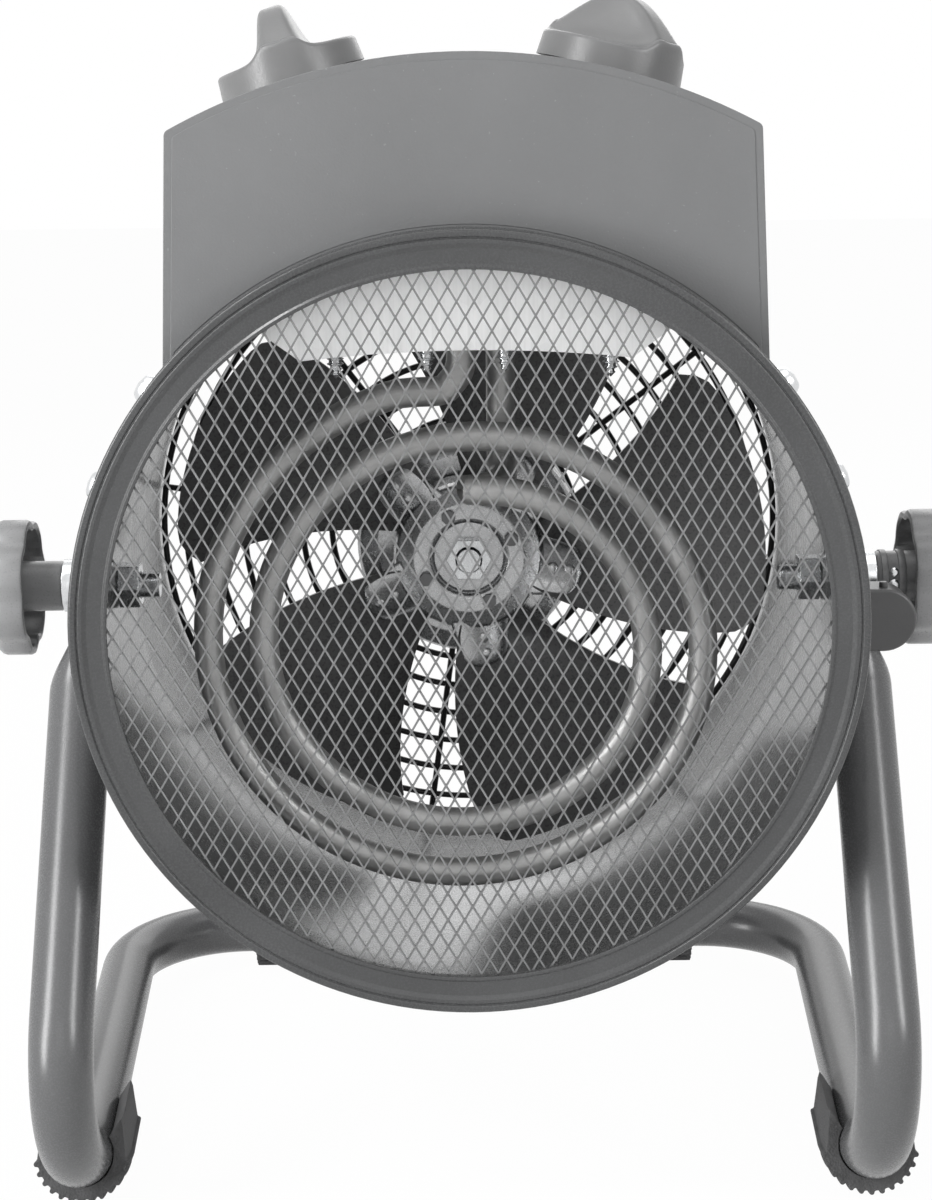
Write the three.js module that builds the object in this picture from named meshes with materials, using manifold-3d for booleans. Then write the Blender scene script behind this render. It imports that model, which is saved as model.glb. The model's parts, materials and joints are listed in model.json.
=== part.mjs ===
// Forced air heater: a round drum with a fan, a spiral heating tube and an arched
// control box, hung between the arms of a bent tube stand. Millimetres, +Z up.
// The drum blows towards -Y. y is measured back from the front plane of the ring,
// and the whole heater is centred over its footprint at the end.
import * as THREE from "three";
import { mergeVertices } from "three/addons/utils/BufferGeometryUtils.js";
import Module from "manifold-3d";

const wasm = await Module();
wasm.setup();

// ---------------------------------------------------------------- driving sizes
const gap = 0.3; // between pieces that touch
const boltGap = 0.35; // round a shaft or a bolt in its hole
const sheet = 1.2; // steel sheet of the drum and the box

// Drum, measured from its axis
const shellRadius = 111; // outside
const shellDepth = 178;
const ringRadius = 113;
const ringOpeningRadius = 102;
const ringDepth = 11;
const axisHeight = 184; // above the floor

// Front mesh
const meshRimClearance = 1.2; // to the inside of the shell
const meshThickness = 1.2;
const meshPitchX = 15;
const meshPitchZ = 25.2;
const meshStrand = 1.5;

// Rear guard
const guardWire = 2.6;
const guardRingPitch = 13;
const guardInnerRadius = 17.5;
const guardSpokes = 8;
const guardArcSteps = 3; // to each curved gap
const guardRecess = 1.5; // from the rear edge of the shell

// Stand
const tubeDiameter = 19;
const armLean = 32; // degrees off the vertical
const frontBendRadius = 35;
const rearBendRadius = 42;
const rearBarDepth = 225; // from the ring's front plane to the bar's axis
const pivotDepth = 76;
const frontHalfWidth = 121; // tube axis at the front bend
const floorSplay = 3.3; // degrees
const armEndThickness = 5; // the flattened end of the tube
const armEndWidth = 28;
const flatLength = 12; // of the flattened end below its round
const flattenLength = 34; // over which the round tube turns flat
const armSpacer = 4; // between the shell and the arm

// Rubber feet
const footWall = 4;
const footTread = 1.2;
const footTreadStep = 26; // degrees
const footLength = 28;
const footWrap = 122; // degrees, each way from straight down
const footPadHalf = 6; // degrees: half the tread that stands on the floor
const rearFootInset = 3; // from the end of the rear bend

// Pivot
const boltDiameter = 8;
const boltInside = 13; // past the inside of the shell
const nutAcross = 13;
const nutHeight = 6.5;
const washerDiameter = 17;
const outerWasher = 6.3; // thickness of the bright washer stack

// Tilt knobs
const tiltKnobDiameter = 43;
const tiltKnobRim = 11;
const tiltKnobLobes = 7;
const tiltKnobLobeDepth = 1.7;
const tiltKnobWall = 2.6;
const tiltHubDiameter = 16;
const tiltHubLength = 9.5;

// Tilt stop
const stopReach = 22; // outwards from the shell
const stopHeight = 19;
const stopDepth = 13;
const stopTop = 4; // above the drum's axis
const stopClearance = 0.6; // to the arm, with the drum level

// Control box
const boxArchRadius = 174;
const boxArchCentre = -14; // below the drum's axis
const boxTopHalf = 82;
const boxBottomHalf = 85;
const boxFront = 12.8;
const boxDepth = 114.7;
const boxCorner = 2;

// Cable gland
const glandHeight = 118; // above the drum's axis
const glandBore = 8;
const glandThread = 16;
const glandInside = 7; // past the rear plate
const glandFlange = 24;
const glandFlangeDepth = 5;
const glandNut = 20; // the clamping nut, over its wide end
const glandMouth = 18; // and over its narrow end
const glandReach = 16; // out of the rear plate
const glandChamfer = 1;

// Control knobs
const knobPlaces = { selector: -50, thermostat: 43 };
const knobTurns = { selector: 90, thermostat: -42 }; // degrees at rest
const knobDiameter = 44;
const knobSkirt = 8.5;
const knobHeight = 22.5;
const knobRidgeHalf = 3.2; // half the grip's flat top
const knobRidgeFlare = 13.5; // over which its flanks run out
const knobRidgeReach = 20.5; // from the middle to the grip's ends
const knobLift = 0.6; // over the box
const controlShaft = 6;
const shaftInKnob = 14;
const shaftInControl = 10;
const shaftHole = 8;
const controlCollarHeight = 6;
const selectorWidth = 34;
const selectorHeight = 26;
const selectorCollar = 18;
const thermostatCan = 30;
const thermostatHeight = 19;
const thermostatCollar = 16;
const shoulderWidth = 20;
const shoulderDepth = 14;
const shoulderHeight = 8;
const bite = 1; // how far joined solids reach into each other

// Heat shield: the front wall, floor and rear wall under the box
const shieldFront = 20;
const shieldBack = 101;
const shieldFloor = 78; // above the axis, at the middle
const shieldFloorRadius = 430;
const shieldFloorHalf = 47; // half the width of the arched floor
const shieldMouthHalf = 64; // half the width where its slanting sides meet the shell
const shieldOpeningHalf = 66; // half the width of the shell's opening above it

// On the shield's floor
const benchDepth = 86; // of the cut-out and the terminals, behind the front plane
const cutoutX = -34;
const cutoutDiameter = 18;
const cutoutFlange = 6;
const cutoutCap = 12;
const cutoutHeight = 10;
const terminalX = 33;
const terminalLength = 24;
const terminalWidth = 20;
const terminalHeight = 14;
const terminalRaised = 5;
const terminalStep = 2;

// Heating tube
const coilTube = 9;
const coilDepth = 60;
const coilCentre = -17; // below the axis
const coilOuterRadius = 84.7;
const coilPitch = 17.1;
const coilTurns = 2;
const coilSquash = 0.96;
const coilFrontEnd = -1.5; // x of the end that rises in front
const coilBackEnd = 10.5;
const coilBackDepth = 22; // how far behind the spiral the other end rises
const coilEndBend = 11;
const coilEndAboveFloor = 12;
const coilFirstTurn = 0.045; // where the front end's bend meets the spiral
const coilLead = 0.6; // of that bend over the spiral
const coilCrossing = { out: 5, back: 3.5, run: 7, lift: 1, rise: 8 }; // of the inner end
const coilSides = 6;
const coilStepsPerTurn = 24;
const bushingDiameter = 15;
const bushingHeight = 5;

// Fan
const fanBlades = 5;
const fanRadius = 98;
const fanFront = 112;
const hubDiameter = 50;
const hubDepth = 21;
const hubRecessDiameter = 25;
const hubRecessDepth = 3;
const bladeTipAngle = 61; // degrees of sweep
const bladeRootAngle = 46;
const bladeDepth = 26; // front to back at the tip
const bladeRootDepth = 17;
const bladeThickness = 1.6;
const bladeSkew = 14; // degrees that the tip runs ahead
const bladePhase = 2.5; // degrees, of the rotor at rest
const shaftDiameter = 8;
const hubScrewCircle = 31;

// Motor
const motorDiameter = 76;
const motorBehindHub = 4;
const motorBossDiameter = 26;
const motorBossHeight = 2.4;
const mountPlate = 1.6;
const mountPlateDiameter = 76;
const motorScrewCircle = 48;

// Screws
const shellScrewAngles = [21, 37]; // degrees above the horizontal, both sides
const shellScrewDepth = 20;
const shellScrewHead = 10;
const shellScrewDome = 5;
const shellScrewInside = 5; // past the inside of the shell
const shieldScrewPlaces = [-38, -11.5, 11.2, 42];
const shieldScrewDepth = 38;
const shieldScrewLength = 8;
const shieldScrewDiameter = 5;

const ringSegments = 48;
const rad = THREE.MathUtils.degToRad;
const v3 = (x, y, z) => new THREE.Vector3(x, y, z);
const v2 = (x, y) => new THREE.Vector2(x, y);

// -------------------------------------------------------------------- finishes
const finish = (color, roughness, metalness) => () =>
  new THREE.MeshStandardMaterial({ color, roughness, metalness });
const greyPaint = finish(0x666768, 0.55, 0.1);
const boxPaint = finish(0x868788, 0.55, 0.1);
const tubePaint = finish(0x6c6d6e, 0.35, 0.35);
const blackWire = finish(0x1d1d1e, 0.5, 0.3);
const galvanised = finish(0xc9cbcc, 0.35, 0.9);
const meshZinc = finish(0x9b9c9d, 0.4, 0.8);
const heaterSteel = finish(0x7d7c7b, 0.4, 0.8);
const castAlloy = finish(0xb4b6b8, 0.4, 0.85);
const fanPaint = finish(0x38393a, 0.5, 0.3);
const zinc = finish(0xd2d4d6, 0.3, 0.9);
const rubber = finish(0x3a3a3b, 0.85, 0.0);
const knobPlastic = finish(0x8a8b8c, 0.45, 0.0);
const tiltPlastic = finish(0x68696a, 0.45, 0.0);
const darkPlastic = finish(0x2c2c2d, 0.5, 0.0);

// ----------------------------------------------------------------- solid tools
// One clean solid from a closed geometry, with its faces turned outwards.
function solid(geometry) {
  const bare = geometry.clone();
  bare.deleteAttribute("normal");
  bare.deleteAttribute("uv");
  const merged = mergeVertices(bare, 1e-4);
  const p = merged.attributes.position.array;
  const faces = [];
  for (let i = 0; i < merged.index.count; i += 3) {
    const [a, b, c] = [0, 1, 2].map((k) => merged.index.getX(i + k));
    if (a !== b && b !== c && c !== a) faces.push([a, b, c]);
  }
  const at = (k) => v3(p[3 * k], p[3 * k + 1], p[3 * k + 2]);
  const volume = faces.reduce(
    (sum, [a, b, c]) => sum + at(a).dot(at(b).cross(at(c))),
    0,
  );
  const outward = volume < 0 ? faces.map(([a, b, c]) => [a, c, b]) : faces;
  return new wasm.Manifold(
    new wasm.Mesh({
      numProp: 3,
      vertProperties: new Float32Array(p),
      triVerts: new Uint32Array(outward.flat()),
    }),
  );
}

const join = (first, ...others) => others.reduce((sum, o) => sum.add(o), first);
const cut = (first, ...tools) => tools.reduce((left, t) => left.subtract(t), first);

// Puts a named mesh into a group.
function add(group, name, body, material) {
  const mesh = body.getMesh();
  const geometry = new THREE.BufferGeometry();
  geometry.setAttribute("position", new THREE.BufferAttribute(mesh.vertProperties, 3));
  geometry.setIndex(new THREE.BufferAttribute(mesh.triVerts, 1));
  geometry.computeVertexNormals();
  const node = new THREE.Mesh(geometry, material());
  node.name = name;
  group.add(node);
}

function extrude(shape, length, curveSegments = 12) {
  return new THREE.ExtrudeGeometry(shape, { depth: length, bevelEnabled: false, curveSegments });
}

// A shape drawn in (x, z) that fills y0 to y1.
function plateY(shape, y0, y1, curveSegments) {
  const body = extrude(shape, y1 - y0, curveSegments);
  return solid(body.rotateX(Math.PI / 2).translate(0, y1, 0));
}

// A shape drawn in (y, z) that fills x0 to x1.
function plateX(shape, x0, x1, curveSegments) {
  const turn = new THREE.Matrix4().makeBasis(v3(0, 1, 0), v3(0, 0, 1), v3(1, 0, 0));
  return solid(extrude(shape, x1 - x0, curveSegments).applyMatrix4(turn).translate(x0, 0, 0));
}

// A turned body round the y axis, from [radius, y] pairs.
function turnedY(profile, segments = 24) {
  return solid(new THREE.LatheGeometry(profile.map(([r, y]) => v2(r, y)), segments));
}

function turnedX(profile, segments = 24) {
  const body = new THREE.LatheGeometry(profile.map(([r, x]) => v2(r, x)), segments);
  return solid(body.rotateZ(-Math.PI / 2));
}

function turnedZ(profile, segments = 24) {
  const body = new THREE.LatheGeometry(profile.map(([r, z]) => v2(r, z)), segments);
  return solid(body.rotateX(Math.PI / 2));
}

const rodProfile = (radius, from, to) => [
  [0, from],
  [radius, from],
  [radius, to],
  [0, to],
];
const rodX = (radius, x0, x1, segments) => turnedX(rodProfile(radius, x0, x1), segments);
const rodY = (radius, y0, y1, segments) => turnedY(rodProfile(radius, y0, y1), segments);
const rodZ = (radius, z0, z1, segments) => turnedZ(rodProfile(radius, z0, z1), segments);

function block(x0, x1, y0, y1, z0, z1) {
  const body = new THREE.BoxGeometry(x1 - x0, y1 - y0, z1 - z0);
  return solid(body.translate((x0 + x1) / 2, (y0 + y1) / 2, (z0 + z1) / 2));
}

// A closed skin over rings of points, with flat ends.
function loft(rings) {
  const sides = rings[0].length;
  const points = rings.flat();
  const index = [];
  for (let i = 0; i + 1 < rings.length; i++)
    for (let k = 0; k < sides; k++) {
      const a = i * sides + k;
      const b = i * sides + ((k + 1) % sides);
      index.push(a, b, a + sides, b, b + sides, a + sides);
    }
  const last = (rings.length - 1) * sides;
  for (let k = 1; k + 1 < sides; k++) {
    index.push(0, k + 1, k);
    index.push(last, last + k, last + k + 1);
  }
  const geometry = new THREE.BufferGeometry().setFromPoints(points);
  geometry.setIndex(index);
  return solid(geometry);
}

// A path's frames, carried along it without twist.
function framesAlong(points, firstSide) {
  let side = firstSide.clone();
  return points.map((p, i) => {
    const before = points[Math.max(i - 1, 0)];
    const after = points[Math.min(i + 1, points.length - 1)];
    const along = after.clone().sub(before).normalize();
    side = side.sub(along.clone().multiplyScalar(side.dot(along))).normalize();
    return { p, side: side.clone(), other: along.clone().cross(side) };
  });
}

// ----------------------------------------------------------------------- frame
const shellInside = shellRadius - sheet;
const treadRadius = tubeDiameter / 2 + gap + footWall + footTread;
const tubeHeight = treadRadius * Math.cos(rad(footPadHalf)); // tube axis over the floor
const armInside = shellRadius + armSpacer; // |x| of the inner face of the arm
const armOutside = armInside + armEndThickness;
const boltEnd = shellInside - boltInside;
const hubStart = armOutside + gap + outerWasher + gap;
const tiltKnobFace = hubStart + tiltHubLength + tiltKnobRim;

const root = new THREE.Group();
const stand = new THREE.Group();
const drum = new THREE.Group();
drum.position.z = axisHeight;
root.add(stand, drum);

// ----------------------------------------------------------------------- stand
const lean = rad(armLean);
const splay = rad(floorSplay);
const bendCentreZ = tubeHeight + frontBendRadius;
const bendCentreY = pivotDepth - (frontBendRadius +
  -(axisHeight - bendCentreZ) * Math.sin(lean)) / -Math.cos(lean);
const armEndX = armInside + armEndThickness / 2;

// The centre line of one side, from the tip of the arm to the middle of the bar.
function standSide() {
  const path = [];
  const up = v2(Math.sin(lean), Math.cos(lean));
  const reach = axisHeight - (bendCentreZ + frontBendRadius * Math.sin(lean));
  const armLength = reach / Math.cos(lean);
  const tip = armEndWidth / 2;
  const roundSteps = [1, 0.9, 0.6, 0];
  for (const part of roundSteps)
    path.push({ s: -tip * part, flat: 1, round: Math.sqrt(Math.max(1 - part * part, 0.09)) });
  const flattenEnd = flatLength + flattenLength;
  path.push({ s: flatLength, flat: 1, round: 1 });
  for (const t of [0.33, 0.67, 1])
    path.push({ s: flatLength + t * flattenLength, flat: 1 - t * t * (3 - 2 * t), round: 1 });
  path.push({ s: (flattenEnd + armLength) / 2, flat: 0, round: 1 });
  const side = path.map(({ s, flat, round }) => ({
    p: v3(
      THREE.MathUtils.lerp(frontHalfWidth, armEndX, Math.max(0, 1 - s / armLength) ** 1.5),
      pivotDepth - s * up.x,
      axisHeight - s * up.y,
    ),
    flat,
    round,
  }));
  for (const point of side) if (point.flat === 1) point.p.x = armEndX;
  const plain = (p) => side.push({ p, flat: 0, round: 1 });
  const bendSteps = 7;
  for (let i = 0; i <= bendSteps; i++) {
    const turn = Math.PI - lean + (i / bendSteps) * (Math.PI / 2 + lean);
    plain(v3(frontHalfWidth, bendCentreY + frontBendRadius * Math.cos(turn),
      bendCentreZ + frontBendRadius * Math.sin(turn)));
  }
  const r = rearBendRadius;
  const run = (rearBarDepth - r - r * Math.sin(splay) - bendCentreY) / Math.cos(splay);
  const centre = v2(
    frontHalfWidth + run * Math.sin(splay) - r * Math.cos(splay),
    rearBarDepth - r,
  );
  const rearSteps = 7;
  for (let i = 0; i <= rearSteps; i++) {
    const turn = -splay + (i / rearSteps) * (Math.PI / 2 + splay);
    plain(v3(centre.x + r * Math.cos(turn), centre.y + r * Math.sin(turn), tubeHeight));
  }
  return { side, barHalf: centre.x };
}

const { side: standHalf, barHalf } = standSide();
const tubeSides = 12;

function standTube() {
  const mirrored = standHalf.map((q) => ({ ...q, p: v3(-q.p.x, q.p.y, q.p.z) })).reverse();
  const path = [...standHalf, ...mirrored];
  const radius = tubeDiameter / 2;
  const frames = framesAlong(path.map((q) => q.p), v3(1, 0, 0));
  const rings = frames.map(({ p, side, other }, i) => {
    const { flat, round } = path[i];
    const halfSide = THREE.MathUtils.lerp(radius, armEndThickness / 2, flat);
    const halfOther = THREE.MathUtils.lerp(radius, armEndWidth / 2, flat) * round;
    const ring = [];
    for (let k = 0; k < tubeSides; k++) {
      const a = (2 * Math.PI * (k + 0.5)) / tubeSides;
      const squareness = 1 - 0.62 * flat; // a flattened tube keeps flat cheeks
      const c = Math.sign(Math.cos(a)) * Math.abs(Math.cos(a)) ** squareness;
      ring.push(p.clone()
        .addScaledVector(side, halfSide * (flat ? c : Math.cos(a)))
        .addScaledVector(other, halfOther * Math.sin(a)));
    }
    return ring;
  });
  const past = armOutside + armEndThickness; // |x| of a point clear of both arms
  const hole = rodX(boltDiameter / 2 + boltGap, -past, past, 16)
    .translate([0, pivotDepth, axisHeight]);
  return cut(loft(rings), hole);
}

add(stand, "stand_tube", standTube(), tubePaint);

// A rubber clip, drawn round the tube's axis with straight down at the bottom.
function footSection() {
  const inner = tubeDiameter / 2 + gap;
  const outer = inner + footWall;
  const down = (angle, r) => v2(r * Math.sin(rad(angle)), -r * Math.cos(rad(angle)));
  const outline = [down(-footWrap - 8, outer + 1.5), down(-footWrap + 10, outer)];
  const treads = Math.floor(82 / footTreadStep);
  for (let i = -treads; i <= treads; i++) {
    const at = i * footTreadStep;
    const half = i === 0 ? footPadHalf : 3;
    outline.push(down(at - half - 1.2, outer));
    outline.push(down(at - half, outer + footTread));
    outline.push(down(at + half, outer + footTread));
    outline.push(down(at + half + 1.2, outer));
  }
  outline.push(down(footWrap - 10, outer), down(footWrap + 8, outer + 1.5));
  outline.push(down(footWrap + 3, inner + 0.8));
  const steps = 12;
  for (let i = 0; i <= steps; i++)
    outline.push(down(footWrap - (2 * footWrap * i) / steps, inner));
  outline.push(down(-footWrap - 3, inner + 0.8));
  return new THREE.Shape(outline);
}

for (const [side, sign] of [["left", -1], ["right", 1]]) {
  const clip = plateY(footSection(), 0, footLength);
  const front = clip.rotate([0, 0, -sign * floorSplay])
    .translate([sign * frontHalfWidth, bendCentreY, tubeHeight]);
  add(stand, "foot_front_" + side, front, rubber);
  const rear = plateX(footSection(), 0, footLength)
    .translate([sign > 0 ? barHalf - rearFootInset - footLength : rearFootInset - barHalf,
      rearBarDepth, tubeHeight]);
  add(stand, "foot_rear_" + side, rear, rubber);
}

// -------------------------------------------------------------- drum and front
const tau = 2 * Math.PI;
const polar = (r, a) => v2(r * Math.cos(a), r * Math.sin(a));
const ringBack = ringDepth;
const faceThickness = 1.2;
const shellFront = 4.2;
const shellScrewShank = 4;

function drumShell() {
  const tube = turnedY([
    [shellInside, shellFront],
    [shellRadius, shellFront],
    [shellRadius, shellDepth],
    [shellInside, shellDepth],
    [shellInside, shellFront],
  ], ringSegments);
  const opening = block(-shieldOpeningHalf, shieldOpeningHalf, shieldFront + 3, shieldBack - 3,
    shieldFloor / 2, ringRadius);
  const pivots = rodX(boltDiameter / 2 + boltGap, -ringRadius, ringRadius, 16)
    .translate([0, pivotDepth, 0]);
  const screwHoles = shellScrewAngles.flatMap((angle) => [angle, 180 - angle])
    .map((angle) => rodX(shellScrewShank / 2 + boltGap, shellInside - 4, shellRadius + 4, 10)
      .rotate([0, -angle, 0]).translate([0, shellScrewDepth, 0]));
  return cut(tube, opening, pivots, ...screwHoles);
}

add(drum, "drum_shell", drumShell(), greyPaint);

// The ring's flat face, its rolled shoulder and the flange over the shell.
add(drum, "front_ring", turnedY([
  [ringOpeningRadius, 0],
  [ringRadius - 2.6, 0],
  [ringRadius - 0.7, 1],
  [ringRadius, 3.6],
  [ringRadius, ringBack],
  [shellRadius + gap, ringBack],
  [shellRadius + gap, 3.8],
  [shellRadius - 2, faceThickness],
  [ringOpeningRadius, faceThickness],
  [ringOpeningRadius, 0],
], ringSegments), greyPaint);

// Expanded metal: staggered diamonds inside a plain rim.
function frontMesh() {
  const radius = shellInside - meshRimClearance;
  const disc = new THREE.Shape();
  disc.absarc(0, 0, radius, 0, tau, false);
  const a = meshPitchX / 2;
  const b = meshPitchZ / 2;
  const shrink = 1 - (meshStrand / 2) * (Math.hypot(a, b) / (a * b));
  const columns = Math.ceil(radius / a);
  const rows = Math.ceil(radius / b);
  for (let i = -columns; i <= columns; i++)
    for (let j = -rows; j <= rows; j++) {
      if ((i + j) % 2 !== 0) continue;
      const [x, z] = [i * a, j * b];
      const corners = [[a, 0], [0, b], [-a, 0], [0, -b]]
        .map(([dx, dz]) => v2(x + dx * shrink, z + dz * shrink));
      if (corners.some((c) => c.length() > radius - meshStrand)) continue;
      disc.holes.push(new THREE.Path(corners));
    }
  console.log("front mesh gaps:", disc.holes.length);
  const y0 = faceThickness + gap;
  return plateY(disc, y0, y0 + meshThickness, 24);
}

add(drum, "front_mesh", frontMesh(), meshZinc);

// ------------------------------------------------------------------ rear guard
const guardBack = shellDepth - guardRecess;
const guardFront = guardBack - guardWire;

// Concentric wires on straight spokes: a disc with a curved gap in each field.
function rearGuard() {
  const rim = shellInside - gap;
  const h = guardWire / 2;
  const disc = new THREE.Shape();
  disc.absarc(0, 0, rim, 0, tau, false);
  const middle = new THREE.Path();
  middle.absarc(0, 0, guardInnerRadius - h, 0, tau, true);
  disc.holes.push(middle);
  const radii = [];
  for (let r = guardInnerRadius; r < rim - guardRingPitch / 2; r += guardRingPitch) radii.push(r);
  radii.push(rim - h);
  for (let ring = 0; ring + 1 < radii.length; ring++)
    for (let spoke = 0; spoke < guardSpokes; spoke++) {
      const from = (tau * (spoke - 0.5)) / guardSpokes;
      const to = from + tau / guardSpokes;
      const arc = (r, a, b) => {
        const inset = Math.sign(b - a) * Math.asin(h / r);
        return Array.from({ length: guardArcSteps + 1 }, (_, k) =>
          polar(r, THREE.MathUtils.lerp(a + inset, b - inset, k / guardArcSteps)));
      };
      disc.holes.push(new THREE.Path([
        ...arc(radii[ring] + h, from, to),
        ...arc(radii[ring + 1] - h, to, from),
      ]));
    }
  return plateY(disc, guardFront, guardBack, 12);
}

add(drum, "rear_guard", rearGuard(), blackWire);

// ----------------------------------------------------------------- control box
// The arched outline, inset by a wall, down to the height at the bottom.
function archOutline(inset, bottom) {
  const r = boxArchRadius - inset;
  const topHalf = boxTopHalf - inset;
  const bottomHalf = boxBottomHalf - inset;
  const cornerAngle = Math.asin(topHalf / r);
  const start = cornerAngle - boxCorner / r;
  const cornerZ = boxArchCentre + r * Math.cos(cornerAngle);
  const points = [v2(bottomHalf, bottom), v2(topHalf, cornerZ - boxCorner)];
  const steps = 14;
  for (let i = 0; i <= steps; i++) {
    const a = start - (2 * start * i) / steps;
    points.push(v2(r * Math.sin(a), boxArchCentre + r * Math.cos(a)));
  }
  points.push(v2(-topHalf, cornerZ - boxCorner), v2(-bottomHalf, bottom));
  return points;
}

const saddleRadius = shellRadius + gap;
const boxBack = boxFront + boxDepth;
const coverFront = boxFront + sheet + gap;
const coverBack = boxBack - sheet - gap;

function boxCover() {
  const wallBottom = Math.sqrt(saddleRadius ** 2 - (boxBottomHalf - sheet) ** 2) + gap;
  const outline = [...archOutline(0, wallBottom), ...archOutline(sheet, wallBottom).reverse()];
  const holes = Object.values(knobPlaces).map((x) =>
    rodZ(shaftHole / 2, boxArchRadius - 6, boxArchRadius + 6, 16)
      .rotate([0, THREE.MathUtils.radToDeg(Math.asin(x / boxArchRadius)), 0])
      .translate([0, knobDepth, boxArchCentre]));
  return cut(plateY(new THREE.Shape(outline), coverFront, coverBack), ...holes);
}

// An end plate: the same arch over a saddle that sits on the shell.
function endPlate(y0) {
  const saddleAngle = Math.asin(boxBottomHalf / saddleRadius);
  const bottom = saddleRadius * Math.cos(saddleAngle);
  const outline = archOutline(0, bottom);
  const steps = 16;
  for (let i = 1; i < steps; i++) {
    const a = -saddleAngle + (2 * saddleAngle * i) / steps;
    outline.push(v2(saddleRadius * Math.sin(a), saddleRadius * Math.cos(a)));
  }
  return plateY(new THREE.Shape(outline), y0, y0 + sheet);
}

const knobDepth = (boxFront + boxBack) / 2;
const glandPlace = v2(boxBottomHalf / 2, glandHeight); // x and z on the rear plate

add(drum, "control_box_cover", boxCover(), boxPaint);
add(drum, "control_box_front", endPlate(boxFront), boxPaint);
add(drum, "control_box_rear", cut(endPlate(boxBack - sheet),
  rodY(glandThread / 2 + gap, boxBack - 2 * sheet, boxBack + sheet)
    .translate([glandPlace.x, 0, glandPlace.y]),
), boxPaint);

// The empty inlet for the supply lead: thread, flange and clamping nut.
add(drum, "cable_gland", turnedY([
  [glandBore / 2, boxBack - sheet - glandInside],
  [glandThread / 2, boxBack - sheet - glandInside],
  [glandThread / 2, boxBack + gap],
  [glandFlange / 2, boxBack + gap],
  [glandFlange / 2, boxBack + glandFlangeDepth],
  [glandNut / 2, boxBack + glandFlangeDepth + glandChamfer],
  [glandMouth / 2, boxBack + glandReach - 2 * glandChamfer],
  [glandBore / 2, boxBack + glandReach],
  [glandBore / 2, boxBack - sheet - glandInside],
], 12).translate([glandPlace.x, 0, glandPlace.y]), darkPlastic);

// ----------------------------------------------------------------- heat shield
const floorArcCentre = shieldFloor - shieldFloorRadius;
const floorAt = (x) => floorArcCentre + Math.sqrt(shieldFloorRadius ** 2 - x * x);
// The height at which a flat piece from x0 to x1 rests on the crowned floor.
const benchAt = (x0, x1) =>
  floorAt(x0 * x1 < 0 ? 0 : Math.min(Math.abs(x0), Math.abs(x1))) + sheet + gap;

function heatShield() {
  const rim = shellInside - gap;
  const edge = Math.acos(shieldMouthHalf / rim);
  const side = polar(rim - 2 * sheet, edge);
  const steps = 10;
  const lower = [v2(-side.x, side.y)];
  for (let i = 0; i <= steps; i++) {
    const x = -shieldFloorHalf + (2 * shieldFloorHalf * i) / steps;
    lower.push(v2(x, floorAt(x)));
  }
  lower.push(side);
  const upper = lower.map((p) => v2(p.x, p.y + sheet)).reverse();
  const floor = plateY(new THREE.Shape([...lower, ...upper]), shieldFront, shieldBack);
  const wallOutline = [...lower];
  for (let i = 0; i <= steps + 6; i++)
    wallOutline.push(polar(rim, edge + ((Math.PI - 2 * edge) * i) / (steps + 6)));
  const wall = new THREE.Shape(wallOutline);
  const holes = shieldScrewPlaces.map((x) =>
    rodZ(shieldScrewDiameter / 2 + boltGap, shieldFloor - 8, shieldFloor + 8, 8)
      .translate([x, shieldScrewDepth, 0]));
  const leads = [[coilFrontEnd, coilDepth], [coilBackEnd, coilDepth + coilBackDepth]]
    .map(([x, y]) => rodZ(coilTube / 2 + boltGap + 0.3, shieldFloor - 8, shieldFloor + 8, 12)
      .translate([x, y, 0]));
  return cut(join(floor,
    plateY(wall, shieldFront, shieldFront + sheet),
    plateY(wall, shieldBack - sheet, shieldBack)), ...holes, ...leads);
}

add(drum, "heat_shield", heatShield(), galvanised);

shieldScrewPlaces.forEach((x, i) => {
  const r = shieldScrewDiameter / 2;
  const headRadius = r * 1.8;
  const top = benchAt(x - headRadius, x + headRadius);
  const head = rodZ(headRadius, top, top + r, 8);
  const shank = rodZ(r, floorAt(x) - shieldScrewLength, top + r / 2, 8);
  add(drum, "shield_screw_" + (i + 1),
    join(head, shank).translate([x, shieldScrewDepth, 0]), zinc);
});

// ---------------------------------------------------------------- heating tube
// Down through the shield, left round the spiral, back and up behind it.
function coilPoints() {
  const radiusAt = (turn) => coilOuterRadius - coilPitch * turn;
  const spiral = (turn) => v3(
    -radiusAt(turn) * Math.sin(tau * turn),
    coilDepth,
    coilCentre + coilSquash * radiusAt(turn) * Math.cos(tau * turn),
  );
  const joinHeight = spiral(coilFirstTurn).z + coilLead;
  const top = shieldFloor + sheet + coilEndAboveFloor;
  const points = [v3(coilFrontEnd, coilDepth, top)];
  points.push(v3(coilFrontEnd, coilDepth, (top + joinHeight + coilEndBend) / 2));
  for (let i = 0; i <= 3; i++) {
    const a = (i / 4) * (Math.PI / 2);
    points.push(v3(coilFrontEnd - coilEndBend * (1 - Math.cos(a)), coilDepth,
      joinHeight + coilEndBend * (1 - Math.sin(a))));
  }
  const steps = Math.round(coilTurns * coilStepsPerTurn);
  for (let i = 0; i <= steps; i++)
    points.push(spiral(coilFirstTurn + ((coilTurns - coilFirstTurn) * i) / steps));
  const end = points.at(-1);
  const back = v3(coilBackEnd, coilDepth + coilBackDepth, end.z);
  const { out, back: step, run, lift, rise } = coilCrossing;
  points.push(v3(end.x + out, coilDepth + step, end.z));
  points.push(v3(coilBackEnd, back.y - run, end.z + lift));
  points.push(v3(coilBackEnd, back.y - lift, end.z + rise));
  for (const t of [0.35, 0.7, 1])
    points.push(v3(coilBackEnd, back.y, THREE.MathUtils.lerp(end.z + rise, top, t)));
  return points;
}

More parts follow.
